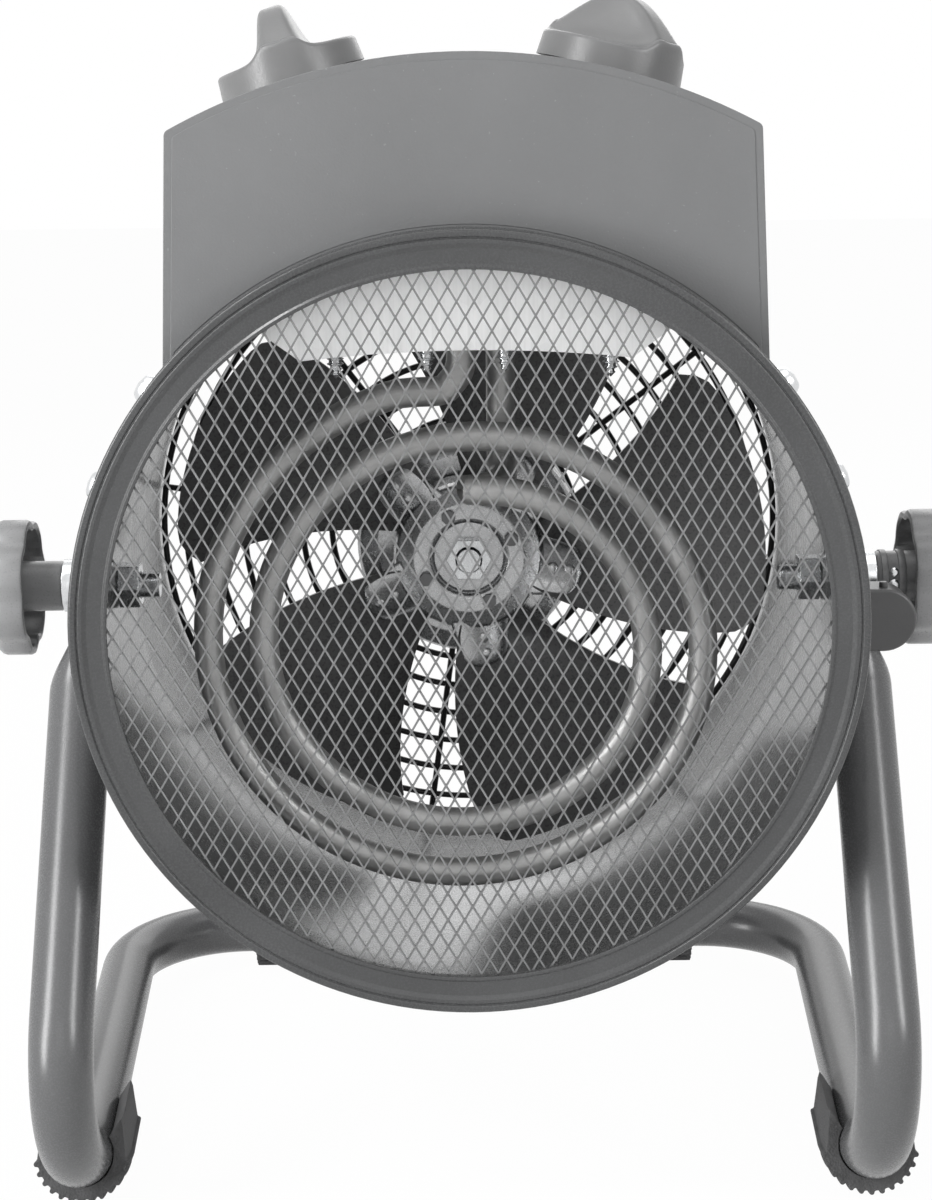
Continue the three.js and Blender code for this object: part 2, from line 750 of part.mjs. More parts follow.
function heatingTube() {
  const path = new THREE.CatmullRomCurve3(coilPoints(), false, "centripetal");
  const samples = path.getSpacedPoints(300);
  let least = Infinity;
  for (let i = 0; i < samples.length; i++)
    for (let j = i + 24; j < samples.length; j++)
      least = Math.min(least, samples[i].distanceTo(samples[j]));
  console.log("heating tube, least gap to itself:", (least - coilTube).toFixed(2), "mm");
  const section = new THREE.Shape();
  section.absarc(0, 0, coilTube / 2, 0, tau, false);
  return solid(new THREE.ExtrudeGeometry(section, {
    steps: Math.round(coilStepsPerTurn * coilTurns * 1.6),
    curveSegments: coilSides / 2,
    extrudePath: path,
  }));
}

add(drum, "heating_element", heatingTube(), heaterSteel);

// Ceramic bushings where the tube's ends pass the shield.
for (const [name, x, y] of [["front", coilFrontEnd, coilDepth],
  ["rear", coilBackEnd, coilDepth + coilBackDepth]]) {
  const bore = coilTube / 2 + boltGap;
  const z = benchAt(x - bushingDiameter / 2, x + bushingDiameter / 2);
  add(drum, "element_bushing_" + name, turnedZ([
    [bore, z],
    [bushingDiameter / 2, z],
    [bushingDiameter / 2, z + bushingHeight - 1],
    [bushingDiameter / 2 - 1, z + bushingHeight],
    [bore, z + bushingHeight],
    [bore, z],
  ], 12).translate([x, y, 0]), zinc);
}

// ------------------------------------------------------------------------- fan
const fan = new THREE.Group();
drum.add(fan);

// One blade: a helical sheet that widens and runs ahead towards its tip.
function blade() {
  const nu = 5;
  const nv = 4;
  const root0 = hubDiameter / 2 - 2;
  const grid = (offset) => {
    const points = [];
    for (let i = 0; i <= nu; i++)
      for (let j = 0; j <= nv; j++) {
        const u = i / nu;
        const w = j / nv - 0.5;
        const r = THREE.MathUtils.lerp(root0, fanRadius, u);
        const sweep = rad(THREE.MathUtils.lerp(bladeRootAngle, bladeTipAngle, Math.sqrt(u)));
        const a = w * sweep * (1 - 0.1 * u * (2 * w) ** 2) + rad(bladeSkew) * u;
        const depth = THREE.MathUtils.lerp(bladeRootDepth, bladeDepth, u);
        const camber = 3 * (1 - (2 * w) ** 2) * u;
        points.push(v3(r * Math.cos(a), depth * w - camber + offset, r * Math.sin(a)));
      }
    return points;
  };
  const points = [...grid(-bladeThickness / 2), ...grid(bladeThickness / 2)];
  const row = nv + 1;
  const layer = (nu + 1) * row;
  const index = [];
  const quad = (a, b, c, d) => index.push(a, b, c, a, c, d);
  for (let i = 0; i < nu; i++)
    for (let j = 0; j < nv; j++) {
      const a = i * row + j;
      quad(a, a + 1, a + row + 1, a + row);
      quad(a + layer, a + row + layer, a + row + 1 + layer, a + 1 + layer);
    }
  for (let i = 0; i < nu; i++) {
    const a = i * row;
    const b = a + nv;
    quad(a, a + row, a + row + layer, a + layer);
    quad(b, b + layer, b + row + layer, b + row);
  }
  for (let j = 0; j < nv; j++) {
    const b = nu * row + j;
    quad(j, j + layer, j + 1 + layer, j + 1);
    quad(b, b + 1, b + 1 + layer, b + layer);
  }
  const geometry = new THREE.BufferGeometry().setFromPoints(points);
  geometry.setIndex(index);
  return solid(geometry);
}

const hubBack = fanFront + hubDepth;

function fanRotor() {
  const bore = shaftDiameter / 2 + boltGap;
  const hub = turnedY([
    [bore, fanFront + hubRecessDepth],
    [hubRecessDiameter / 2, fanFront + hubRecessDepth],
    [hubRecessDiameter / 2, fanFront],
    [hubDiameter / 2 - 2.5, fanFront],
    [hubDiameter / 2, fanFront + 2.5],
    [hubDiameter / 2, hubBack],
    [bore, hubBack],
    [bore, fanFront + hubRecessDepth],
  ], 25);
  const middle = fanFront + hubDepth / 2;
  const blades = Array.from({ length: fanBlades }, (_, i) =>
    blade().translate([0, middle, 0]).rotate([0, bladePhase - (360 * i) / fanBlades, 0]));
  const screwHoles = Array.from({ length: 4 }, (_, i) =>
    rodY(1.9, fanFront - 1, fanFront + 8, 8).translate([hubScrewCircle / 2, 0, 0])
      .rotate([0, -90 * i - 25, 0]));
  return cut(join(hub, ...blades), ...screwHoles);
}

add(fan, "fan_rotor", fanRotor(), fanPaint);

for (let i = 0; i < 4; i++) {
  const screw = join(rodY(2.4, fanFront - gap - 1.6, fanFront - gap, 8),
    rodY(1.5, fanFront - gap - 0.8, fanFront + 7, 6));
  add(fan, "hub_screw_" + (i + 1),
    screw.translate([hubScrewCircle / 2, 0, 0]).rotate([0, -90 * i - 25, 0]), zinc);
}

// Motor, plate and screws on the axis behind the fan.
const plateBack = guardFront - gap;
const plateFront = plateBack - mountPlate;
const motorBack = plateFront - gap;
const motorFront = hubBack + motorBehindHub + motorBossHeight;
const shaftInMotor = 14;

const hexagon = (across) => new THREE.Shape(
  Array.from({ length: 6 }, (_, i) => polar(across / Math.sqrt(3), (tau * i) / 6)));

function fanNut(y0, y1) {
  const bore = rodY(shaftDiameter / 2 + boltGap, y0 - 1, y1 + 1, 16);
  return cut(plateY(hexagon(nutAcross), y0, y1), bore);
}

const fanNutFront = fanFront - 2.5;
add(fan, "motor_shaft", rodY(shaftDiameter / 2, fanNutFront - 2,
  motorFront - motorBossHeight + shaftInMotor, 16), zinc);
add(fan, "fan_nut", fanNut(fanNutFront, fanFront + hubRecessDepth - gap), zinc);

function motorBody() {
  const r = motorDiameter / 2;
  const bore = shaftDiameter / 2 + boltGap;
  const boreEnd = motorFront - motorBossHeight + shaftInMotor + gap;
  const can = turnedY([
    [0, boreEnd],
    [bore, boreEnd],
    [bore, motorFront - motorBossHeight],
    [motorBossDiameter / 2, motorFront - motorBossHeight],
    [motorBossDiameter / 2, motorFront],
    [r - 6, motorFront],
    [r - 1.5, motorFront + 2],
    [r, motorFront + 5],
    [r, motorBack - 4],
    [r - 2, motorBack],
    [0, motorBack],
  ], 24);
  const screws = Array.from({ length: 4 }, (_, i) => rodY(2.2, motorBack - 8, motorBack + 1, 8)
    .translate([motorScrewCircle / 2, 0, 0]).rotate([0, 90 * i + 45, 0]));
  return cut(can, ...screws);
}

add(drum, "motor_body", motorBody(), castAlloy);

const plateHoles = Array.from({ length: 4 }, (_, i) => rodY(2.2, plateFront - 1, plateBack + 1, 8)
  .translate([motorScrewCircle / 2, 0, 0]).rotate([0, 90 * i + 45, 0]));
add(drum, "motor_mount_plate",
  cut(rodY(mountPlateDiameter / 2, plateFront, plateBack, 28), ...plateHoles), galvanised);

for (let i = 0; i < 4; i++) {
  const screw = join(rodY(3.4, plateBack + gap, plateBack + gap + 2.2, 8),
    rodY(1.8, motorBack - 7, plateBack + gap + 1, 6));
  add(drum, "motor_screw_" + (i + 1),
    screw.translate([motorScrewCircle / 2, 0, 0]).rotate([0, 90 * i + 45, 0]), zinc);
}

// ------------------------------------------------------ pivots and tilt knobs
function lobedDisc(radius) {
  const steps = 5 * tiltKnobLobes;
  const outline = Array.from({ length: steps }, (_, i) => {
    const a = (tau * i) / steps;
    const dip = tiltKnobLobeDepth * (0.5 - 0.5 * Math.cos(tiltKnobLobes * a)) ** 2;
    return polar(radius - dip, a);
  });
  return new THREE.Shape(outline);
}

// Cup-shaped knob, open towards the drum, with a bored hub.
function tiltKnob() {
  const rimStart = tiltKnobFace - tiltKnobRim;
  const r = tiltKnobDiameter / 2;
  const chamfer = 1.2;
  const body = join(
    plateX(lobedDisc(r), rimStart, tiltKnobFace - chamfer),
    plateX(lobedDisc(r - chamfer), tiltKnobFace - chamfer - 0.01, tiltKnobFace),
  );
  const hollow = rodX(r - tiltKnobLobeDepth - tiltKnobWall, rimStart - 1,
    tiltKnobFace - tiltKnobWall - 1, 28);
  const hub = rodX(tiltHubDiameter / 2, hubStart, tiltKnobFace - tiltKnobWall, 18);
  const bore = rodX(boltDiameter / 2 + boltGap, hubStart - 1, tiltKnobFace - tiltKnobWall - gap, 12);
  return cut(join(cut(body, hollow), hub), bore);
}

const knobEndGap = 1;
for (const [side, sign] of [["left", -1], ["right", 1]]) {
  const place = (body) => (sign > 0 ? body : body.mirror([1, 0, 0])).translate([0, pivotDepth, 0]);
  add(drum, "tilt_knob_" + side, place(tiltKnob()), tiltPlastic);
  add(drum, "pivot_bolt_" + side, place(rodX(boltDiameter / 2, boltEnd,
    tiltKnobFace - tiltKnobWall - knobEndGap, 16)), zinc);
  // The nut's face sits on the curved wall of the shell at the height of its corners.
  const nutSeat = Math.sqrt(shellInside ** 2 - (nutAcross / 2) ** 2) - gap;
  add(drum, "pivot_nut_" + side, place(cut(plateX(hexagon(nutAcross), nutSeat - nutHeight, nutSeat),
    rodX(boltDiameter / 2 + boltGap, nutSeat - nutHeight - 1, nutSeat + 1, 16))), zinc);
  const ringWasher = (from, to) => turnedX([
    [boltDiameter / 2 + boltGap, from],
    [washerDiameter / 2, from],
    [washerDiameter / 2, to],
    [boltDiameter / 2 + boltGap, to],
    [boltDiameter / 2 + boltGap, from],
  ], 12);
  add(drum, "pivot_spacer_" + side, place(ringWasher(shellRadius + gap, armInside - gap)), zinc);
  add(drum, "pivot_washer_" + side, place(ringWasher(armOutside + gap,
    armOutside + gap + outerWasher)), zinc);
}

// A rounded tongue on the right of the drum that meets the arm when it is level.
function tiltStop() {
  const bottom = stopTop - stopHeight;
  const r = stopHeight / 2;
  const x0 = Math.sqrt(saddleRadius ** 2 - bottom ** 2);
  const armFront = pivotDepth - (armEndWidth / 2) / Math.cos(lean) + bottom * Math.tan(lean);
  const outline = new THREE.Shape();
  outline.moveTo(x0 - 3, bottom);
  outline.lineTo(shellRadius + stopReach - r, bottom);
  outline.absarc(shellRadius + stopReach - r, bottom + r, r, -Math.PI / 2, Math.PI / 2, false);
  outline.lineTo(x0 - 3, stopTop);
  const y1 = armFront - stopClearance;
  return cut(plateY(outline, y1 - stopDepth, y1, 8), rodY(saddleRadius, 0, pivotDepth, ringSegments));
}

add(drum, "tilt_stop", tiltStop(), darkPlastic);

// Domed screws into the shell behind the ring.
const screwSides = [...shellScrewAngles, ...shellScrewAngles.map((angle) => 180 - angle)];
screwSides.forEach((angle, i) => {
  const seat = shellRadius + gap;
  const r = shellScrewHead / 2;
  const screw = turnedX([
    [0, shellInside - shellScrewInside],
    [shellScrewShank / 2, shellInside - shellScrewInside],
    [shellScrewShank / 2, seat],
    [r, seat],
    [r, seat + shellScrewDome * 0.2],
    [r * 0.86, seat + shellScrewDome * 0.55],
    [r * 0.55, seat + shellScrewDome * 0.88],
    [0, seat + shellScrewDome],
  ], 10);
  add(drum, "shell_screw_" + (i + 1),
    screw.rotate([0, -angle, 0]).translate([0, shellScrewDepth, 0]), zinc);
});

// --------------------------------------------------------------- the controls
// Each control is built with the arch's outer face at z = 0 and its shaft along z.
const controlTop = -sheet - 2 * gap;
const controlBody = controlTop - controlCollarHeight;

// A disc whose top swells into one grip: a bell along it, hollow flanks across it.
function controlKnob() {
  const radius = knobDiameter / 2;
  const rise = knobHeight - knobSkirt;
  const topAt = (x, y) => {
    const along = Math.min(Math.abs(x) / knobRidgeReach, 1);
    const across = Math.min(Math.max(Math.abs(y) - knobRidgeHalf, 0) / knobRidgeFlare, 1);
    const bell = Math.cos((along * Math.PI) / 2) ** 1.4;
    return knobLift + knobSkirt + rise * bell * (1 - across) ** 3.4;
  };
  const around = 32;
  const circle = (r, heightAt) => Array.from({ length: around }, (_, k) => {
    const p = polar(r, (tau * k) / around);
    return v3(p.x, p.y, heightAt(p.x, p.y));
  });
  const parts = [0.93, 0.75, 0.56, 0.4, 0.27, 0.16, 0.02]; // of the radius
  const rings = [
    circle(radius, () => knobLift),
    circle(radius, () => knobLift + knobSkirt * 0.24),
    circle(radius * 0.945, () => knobLift + knobSkirt * 0.835),
    ...parts.map((part) => circle(radius * part, topAt)),
  ];
  const bore = rodZ(controlShaft / 2 + boltGap, 0, knobLift + shaftInKnob + gap, 16);
  return cut(loft(rings), bore);
}

const controls = {
  // The rotary switch: a square body with a round collar under the arch.
  selector: () => join(
    block(-selectorWidth / 2, selectorWidth / 2, -selectorWidth / 2, selectorWidth / 2,
      controlBody - selectorHeight, controlBody),
    rodZ(selectorCollar / 2, controlBody - bite, controlTop, 16),
  ),
  // The thermostat: a round can with its terminals' shoulder.
  thermostat: () => join(
    rodZ(thermostatCan / 2, controlBody - thermostatHeight, controlBody, 20),
    rodZ(thermostatCollar / 2, controlBody - bite, controlTop, 16),
    block(-shoulderWidth / 2, shoulderWidth / 2, -shoulderDepth / 2, shoulderDepth / 2,
      controlBody - thermostatHeight - shoulderHeight, controlBody - thermostatHeight + bite),
  ),
};

for (const [name, x] of Object.entries(knobPlaces)) {
  const place = new THREE.Group();
  const tilt = Math.asin(x / boxArchRadius);
  place.rotation.y = tilt;
  place.position.set(x, knobDepth, boxArchCentre + boxArchRadius * Math.cos(tilt));
  drum.add(place);
  const blind = controlTop - shaftInControl;
  const well = rodZ(controlShaft / 2 + boltGap, blind - gap, 1, 16);
  add(place, name + "_unit", cut(controls[name](), well), darkPlastic);
  add(place, name + "_shaft", rodZ(controlShaft / 2, blind, knobLift + shaftInKnob, 16), zinc);
  add(place, name + "_knob", controlKnob().rotate([0, 0, knobTurns[name]]), knobPlastic);
}

// On the shield's floor inside the box: the overheat cut-out and the terminals.
const cutoutZ = benchAt(cutoutX - cutoutDiameter / 2, cutoutX + cutoutDiameter / 2);
add(drum, "thermal_cutout", join(
  rodZ(cutoutDiameter / 2, cutoutZ, cutoutZ + cutoutFlange, 16),
  rodZ(cutoutCap / 2, cutoutZ + cutoutFlange - bite, cutoutZ + cutoutHeight, 12),
).translate([cutoutX, benchDepth, 0]), darkPlastic);
const terminalHalf = terminalLength / 2;
const terminalZ = benchAt(terminalX - terminalHalf, terminalX + terminalHalf);
const terminalTop = terminalZ + terminalHeight;
const terminalInset = terminalWidth / 4; // of the raised row of clamps
add(drum, "terminal_block", join(
  block(terminalX - terminalHalf, terminalX + terminalHalf,
    benchDepth - terminalWidth / 2, benchDepth + terminalWidth / 2, terminalZ, terminalTop),
  block(terminalX - terminalHalf + terminalStep, terminalX + terminalHalf - terminalStep,
    benchDepth - terminalInset, benchDepth + terminalInset,
    terminalTop - bite, terminalTop + terminalRaised),
), darkPlastic);

// Centre the heater over its footprint.
const footprint = new THREE.Box3().setFromObject(root);
root.position.y = -(footprint.min.y + footprint.max.y) / 2;

export default root;
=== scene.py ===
"""A forced air heater: the finished look of a drum fan heater on a bent tube stand.

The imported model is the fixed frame. Sizes are in millimetres, and at() turns them into metres:
x runs to the right, depth runs back from the front ring's face, and height runs up from the
drum's axis.
"""

import json
import math

import bmesh
import bpy
from mathutils import Matrix, Vector

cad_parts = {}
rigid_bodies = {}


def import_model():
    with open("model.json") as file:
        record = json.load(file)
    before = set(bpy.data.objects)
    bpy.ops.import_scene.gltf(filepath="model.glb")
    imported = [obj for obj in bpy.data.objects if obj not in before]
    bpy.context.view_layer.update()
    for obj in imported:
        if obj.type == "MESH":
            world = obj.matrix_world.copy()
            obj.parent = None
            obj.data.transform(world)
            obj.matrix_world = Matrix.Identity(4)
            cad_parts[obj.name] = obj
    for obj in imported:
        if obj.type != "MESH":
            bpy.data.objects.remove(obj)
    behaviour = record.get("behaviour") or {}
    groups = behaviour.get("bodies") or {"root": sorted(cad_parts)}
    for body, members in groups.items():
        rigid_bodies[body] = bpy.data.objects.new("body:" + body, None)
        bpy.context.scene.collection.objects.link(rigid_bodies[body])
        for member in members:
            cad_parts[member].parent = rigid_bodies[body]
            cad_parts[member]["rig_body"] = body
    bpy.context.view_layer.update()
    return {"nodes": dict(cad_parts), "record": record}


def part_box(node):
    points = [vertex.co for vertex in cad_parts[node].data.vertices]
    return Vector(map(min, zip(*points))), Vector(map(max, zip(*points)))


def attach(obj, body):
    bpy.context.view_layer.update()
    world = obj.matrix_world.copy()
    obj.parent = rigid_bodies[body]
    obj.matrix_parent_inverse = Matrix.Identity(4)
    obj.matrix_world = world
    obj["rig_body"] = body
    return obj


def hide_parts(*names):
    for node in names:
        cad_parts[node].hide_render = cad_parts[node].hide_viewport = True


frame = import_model()

# --- places
MM = 0.001
RING_LOW, RING_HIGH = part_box("front_ring")
FRONT = RING_LOW.y
AXIS = (RING_LOW.z + RING_HIGH.z) / 2


def at(x, depth, height):
    """A place given in millimetres, as a point in metres."""
    return Vector((x * MM, FRONT + depth * MM, AXIS + height * MM))


def depths(node):
    """How far behind the ring's face a CAD node begins and ends, in millimetres."""
    low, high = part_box(node)
    return (low.y - FRONT) / MM, (high.y - FRONT) / MM


def heights(node):
    """How far above the drum's axis a CAD node begins and ends, in millimetres."""
    low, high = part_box(node)
    return (low.z - AXIS) / MM, (high.z - AXIS) / MM


# --- sizes
RING_RADIUS = (RING_HIGH.x - RING_LOW.x) / 2 / MM
RING_OPENING = 102
RING_DEPTH = depths("front_ring")[1]
RING_SHOULDER = 1.9
SHELL_RADIUS = 111
SHEET = 1.2
SHELL_INSIDE = SHELL_RADIUS - SHEET
SHELL_FRONT, SHELL_BACK = depths("drum_shell")
SHELL_OPENING = (18.8, 98)  # how far back the hole under the box begins and ends
SHELL_OPENING_HALF = 66
SEAT = 0.3  # gap between the drum's sheet and what sits on it
SCREW_DEPTH = 20
SCREW_ANGLES = (21, 37, 159, 143)  # of the four screws behind the ring

MESH_CELL = (4.8, 8.1)  # width and height of one diamond
MESH_STRAND = 0.52
MESH_TWIST = 0.28  # how far a strand leans forward at one end and back at the other
MESH_REACH = 104.5  # of the outermost crossings
MESH_COLUMNS, MESH_ROWS = 45, 27

GUARD_WIRE = 2.2
GUARD_PITCH = 10.4
GUARD_INNER = 17.5
GUARD_SPOKES = 8
GUARD_TURN = -8  # degrees, of the spokes from the cross

TUBE = 19
LEAN = math.radians(32)
FRONT_BEND = 35
REAR_BEND = 42
REAR_BAR = 225
PIVOT = 76
FRONT_HALF = 121
SPLAY = math.radians(3.3)
BEND_STEPS = 18
ARM_THICKNESS = 5
ARM_WIDTH = 28
ARM_INSIDE = SHELL_RADIUS + 4
ARM_TIP_MIN = 0.12  # share of the arm's width where its round tip begins
FLAT_LENGTH = 12
FLATTEN_LENGTH = 24
ARM_SPRING = 2.6  # how far out the tube has moved once it is round
TUBE_HEIGHT = (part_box("stand_tube")[0].z - AXIS) / MM + TUBE / 2

FOOT_LENGTH = 28
FOOT_CURL = 17  # degrees of the front bend that its clip reaches round
FOOT_WALL = 4
FOOT_TREAD = 1.2
FOOT_WRAP = 122  # degrees round the tube from its lowest line to each lip

BOX_ARCH = 174
BOX_CENTRE = -14
BOX_TOP_HALF = 82
BOX_BOTTOM_HALF = 85
BOX_CORNER = 2
BOX_HEM = 2.2  # of the folded edge round each end
BOX_RAISE = 0.22
BOX_GAP = 0.3  # between the cover and each end plate
BOX_FRONT, BOX_BACK = depths("control_box_front")[0], depths("control_box_rear")[1]

KNOB_RADIUS = 22
KNOB_SKIRT = 8.5
KNOB_RISE = 14
KNOB_LIFT = 0.6
KNOB_REACH = 23.6
KNOB_RIDGE = 6.0  # from the grip's middle to where its flank is half as high
KNOB_DISH = 2  # how far the top is hollowed beside the grip
KNOB_PLACES = {"selector_knob": (-50, 90), "thermostat_knob": (43, -42)}  # x, degrees turned

TILT_KNOB_RADIUS = 21.5
TILT_KNOB_WALL = 2.4
TILT_KNOB_CUP = 11  # how deep the knob is
TILT_KNOB_LOBES = 7
TILT_KNOB_DIP = 1.7  # how deep a valley between two lobes is
TILT_HUB_RADIUS = 7.8

COIL_TUBE = 9
COIL_DEPTH = 60
COIL_CENTRE = -17
COIL_OUTER = 84.7
COIL_PITCH = 17.1
COIL_TURNS = 2
COIL_START = 0.045  # turns from the top at which the spiral begins
COIL_SQUASH = 0.96
COIL_ENDS = (-1.5, 10.5)  # x of the lead-in and of the return
COIL_BACK = 22
COIL_BEND = 11

FAN_FRONT = 112
FAN_RADIUS = 98
FAN_BLADES = 5
FAN_TURN = 2.5
BLADE_HALF_SHEET = 0.8
HUB_RADIUS = 25
HUB_DEPTH = 21
HUB_BORE = 4.35
HUB_RECESS = 12.5
ARM_BEHIND = 6.5  # degrees, of each arm behind the middle of its blade's root
RIVET_PLACES = (28, 33.5)
MOTOR_RADIUS = 38


# --- materials
def add_node(tree, kind, inputs=None, **settings):
    """A node in a tree, with each input set to a value or linked to one or more sockets."""
    node = tree.nodes.new(kind)
    for key, value in settings.items():
        setattr(node, key, value)
    for key, value in (inputs or {}).items():
        for one in value if isinstance(value, list) else [value]:
            if isinstance(one, bpy.types.NodeSocket):
                tree.links.new(one, node.inputs[key])
            else:
                node.inputs[key].default_value = one
    return node


class Finish:
    """A material on Object coordinates, with its colour and gloss varied by patterns."""

    def __init__(self, name, base, metallic, roughness, specular=0.5):
        self.material = bpy.data.materials.new(name)
        self.material.use_nodes = True
        self.tree = self.material.node_tree
        self.surface = self.tree.nodes["Principled BSDF"].inputs
        self.base, self.roughness = (*base, 1), roughness
        for socket, value in (("Base Color", self.base), ("Metallic", metallic),
                              ("Roughness", roughness), ("Specular IOR Level", specular)):
            self.surface[socket].default_value = value
        self.place = self.add("TexCoord").outputs["Object"]

    def add(self, kind, inputs=None, **settings):
        return add_node(self.tree, "ShaderNode" + kind, inputs, **settings)

    def noise(self, scale, detail=3.0, roughness=0.5, drawn=None):
        """Noise from 0 to 1; drawn is a scale for each axis that stretches it."""
        place = self.place
        if drawn:
            place = self.add("Mapping", {"Vector": place, "Scale": drawn}).outputs["Vector"]
        return self.add("TexNoise", {"Vector": place, "Scale": scale, "Detail": detail,
                                     "Roughness": roughness}).outputs["Fac"]

    def cells(self, scale):
        """The outputs of a pattern of cells."""
        return self.add("TexVoronoi", {"Vector": self.place, "Scale": scale}).outputs

    def spread(self, value, low, high, start=0.3, end=0.7):
        """A value moved from start..end to low..high."""
        return self.add("MapRange", {"Value": value, "From Min": start, "From Max": end,
                                     "To Min": low, "To Max": high}).outputs["Result"]

    def plus(self, first, second, share=1.0):
        """first plus share times second."""
        return self.add("Math", {0: second, 1: share, 2: first},
                        operation="MULTIPLY_ADD").outputs["Value"]

    def tint(self, value):
        """The base colour multiplied by a value that varies over the surface."""
        mix = self.add("Mix", {"Factor": 1, "A": self.base, "B": value},
                       data_type="RGBA", blend_type="MULTIPLY")
        self.tree.links.new(mix.outputs["Result"], self.surface["Base Color"])

    def gloss(self, value, less, more, *ends):
        """The roughness made less where a value is low and more where it is high."""
        varied = self.spread(value, self.roughness - less, self.roughness + more, *ends)
        self.tree.links.new(varied, self.surface["Roughness"])

    def bump(self, value, distance):
        """Fine relief, with its full depth in metres."""
        relief = self.add("Bump", {"Height": value, "Distance": distance, "Strength": 1})
        self.tree.links.new(relief.outputs["Normal"], self.surface["Normal"])


def paint(name, base, roughness, grain, depth, blotch=0.08, uneven=0.07):
    """Sprayed paint: a fine grain, soft blotches and a few pale specks of dust."""
    look = Finish(name, base, 0.0, roughness)
    shade = look.spread(look.noise(22, 4), 1 - blotch, 1 + blotch)
    specks = look.spread(look.noise(900, 1), 0, 0.35, 0.74, 0.8)
    fine = look.noise(grain, 2)
    look.tint(look.plus(shade, specks))
    look.gloss(fine, uneven, uneven)
    look.bump(fine, depth)
    return look.material


def zinc_plate(name, base, roughness):
    """Plated or bare metal with fine rub marks."""
    look = Finish(name, base, 1.0, roughness)
    rub = look.noise(700, 3, drawn=(1, 1, 0.15))
    look.tint(look.spread(look.noise(60, 3), 0.86, 1.08))
    look.gloss(rub, 0.1, 0.1)
    look.bump(rub, 0.00004)
    return look.material


def galvanised_sheet(name, base, roughness, cloud=1.0):
    """Bright rolled sheet: fine streaks up and down, faint cloudy crystals."""
    look = Finish(name, base, 0.8, roughness)
    grey = look.add("SeparateColor", {"Color": look.cells(130)["Color"]})
    streak = look.noise(900, 2, drawn=(1, 1, 0.04))
    flake = look.plus(streak, grey.outputs["Red"], 0.25)
    flake = look.plus(flake, look.noise(90, 2), 0.4)
    ends = (0.5, 1.1)
    look.tint(look.spread(flake, 1 - 0.12 * cloud, 1 + 0.06 * cloud, *ends))
    look.gloss(flake, 0.08 * cloud, 0.1 * cloud, *ends)
    look.bump(streak, 0.000008 * cloud)
    return look.material


def sheath(name, base):
    """The heating tube's steel, dulled and clouded by heat."""
    look = Finish(name, base, 0.75, 0.42)
    cloud = look.noise(55, 5, 0.6)
    look.tint(look.spread(cloud, 0.68, 1.22))
    look.gloss(cloud, 0.08, 0.08)
    look.bump(look.noise(1500, 2), 0.00005)
    return look.material


def moulded(name, base, roughness):
    """Moulded plastic: spark-eroded grain and faint flow marks."""
    look = Finish(name, base, 0.0, roughness)
    fine = look.noise(1800, 2)
    look.tint(look.spread(look.noise(38, 3, drawn=(1, 1, 2.5)), 0.93, 1.07))
    look.gloss(fine, 0.05, 0.07)
    look.bump(fine, 0.00004)
    return look.material


def rubbery(name, base):
    """Dull rubber with a dusty bloom and small pits."""
    look = Finish(name, base, 0.0, 0.75, 0.35)
    bloom = look.noise(160, 4)
    look.tint(look.spread(bloom, 0.7, 1.5))
    look.gloss(bloom, 0.1, 0.15)
    look.bump(look.cells(1300)["Distance"], 0.00018)
    return look.material


def cast_metal(name, base, roughness):
    """Bright cast alloy: a mottled skin with soft hollows."""
    look = Finish(name, base, 1.0, roughness)
    skin_grain, hollow = look.noise(420, 4, 0.6), look.noise(70, 3)
    look.tint(look.spread(hollow, 0.9, 1.05))
    look.gloss(skin_grain, 0.05, 0.06)
    look.bump(look.plus(skin_grain, hollow, 2.0), 0.000015)
    return look.material


FINISHES = {name: make(name, *look) for name, make, *look in (
    ("ring_paint", paint, (0.05, 0.051, 0.052), 0.27, 1300, 0.000012, 0.16, 0.04),
    ("drum_paint", paint, (0.13, 0.131, 0.132), 0.38, 1100, 0.00005),
    ("box_paint", paint, (0.135, 0.137, 0.139), 0.48, 1400, 0.00006, 0.06),
    ("tube_paint", paint, (0.09, 0.091, 0.093), 0.27, 1800, 0.000004, 0.06, 0.02),
    ("guard_black", paint, (0.01, 0.01, 0.011), 0.35, 900, 0.00004),
    ("mesh_zinc", zinc_plate, (0.23, 0.232, 0.234), 0.42),
    ("galvanised", galvanised_sheet, (0.95, 0.953, 0.957), 0.4),
    ("heater_steel", sheath, (0.42, 0.419, 0.416)),
    ("cast_alloy", cast_metal, (0.5, 0.503, 0.507), 0.26),
    # fan_paint: the blades' dark grey is painted shade; they are bare aluminium, dark in the drum's
    # shadow.
    ("fan_paint", paint, (0.12, 0.12, 0.121), 0.3, 1000, 0.00002, 0.2),
    ("zinc", zinc_plate, (0.72, 0.73, 0.74), 0.24),
    ("rubber", rubbery, (0.055, 0.055, 0.056)),
    ("knob_plastic", moulded, (0.15, 0.151, 0.152), 0.35),
    ("tilt_plastic", moulded, (0.235, 0.236, 0.239), 0.3),
    ("dark_plastic", moulded, (0.06, 0.06, 0.061), 0.36),
)}
# A dark zinc for the four hub screws: painted shade, for the dark of their holes in the bright hub.
SHADE_DARK_ZINC = zinc_plate("shade_dark_zinc", (0.16, 0.161, 0.163), 0.4)
INSIDE_WALL = galvanised_sheet("inside_wall", (0.33, 0.333, 0.336), 0.26, 0.3)


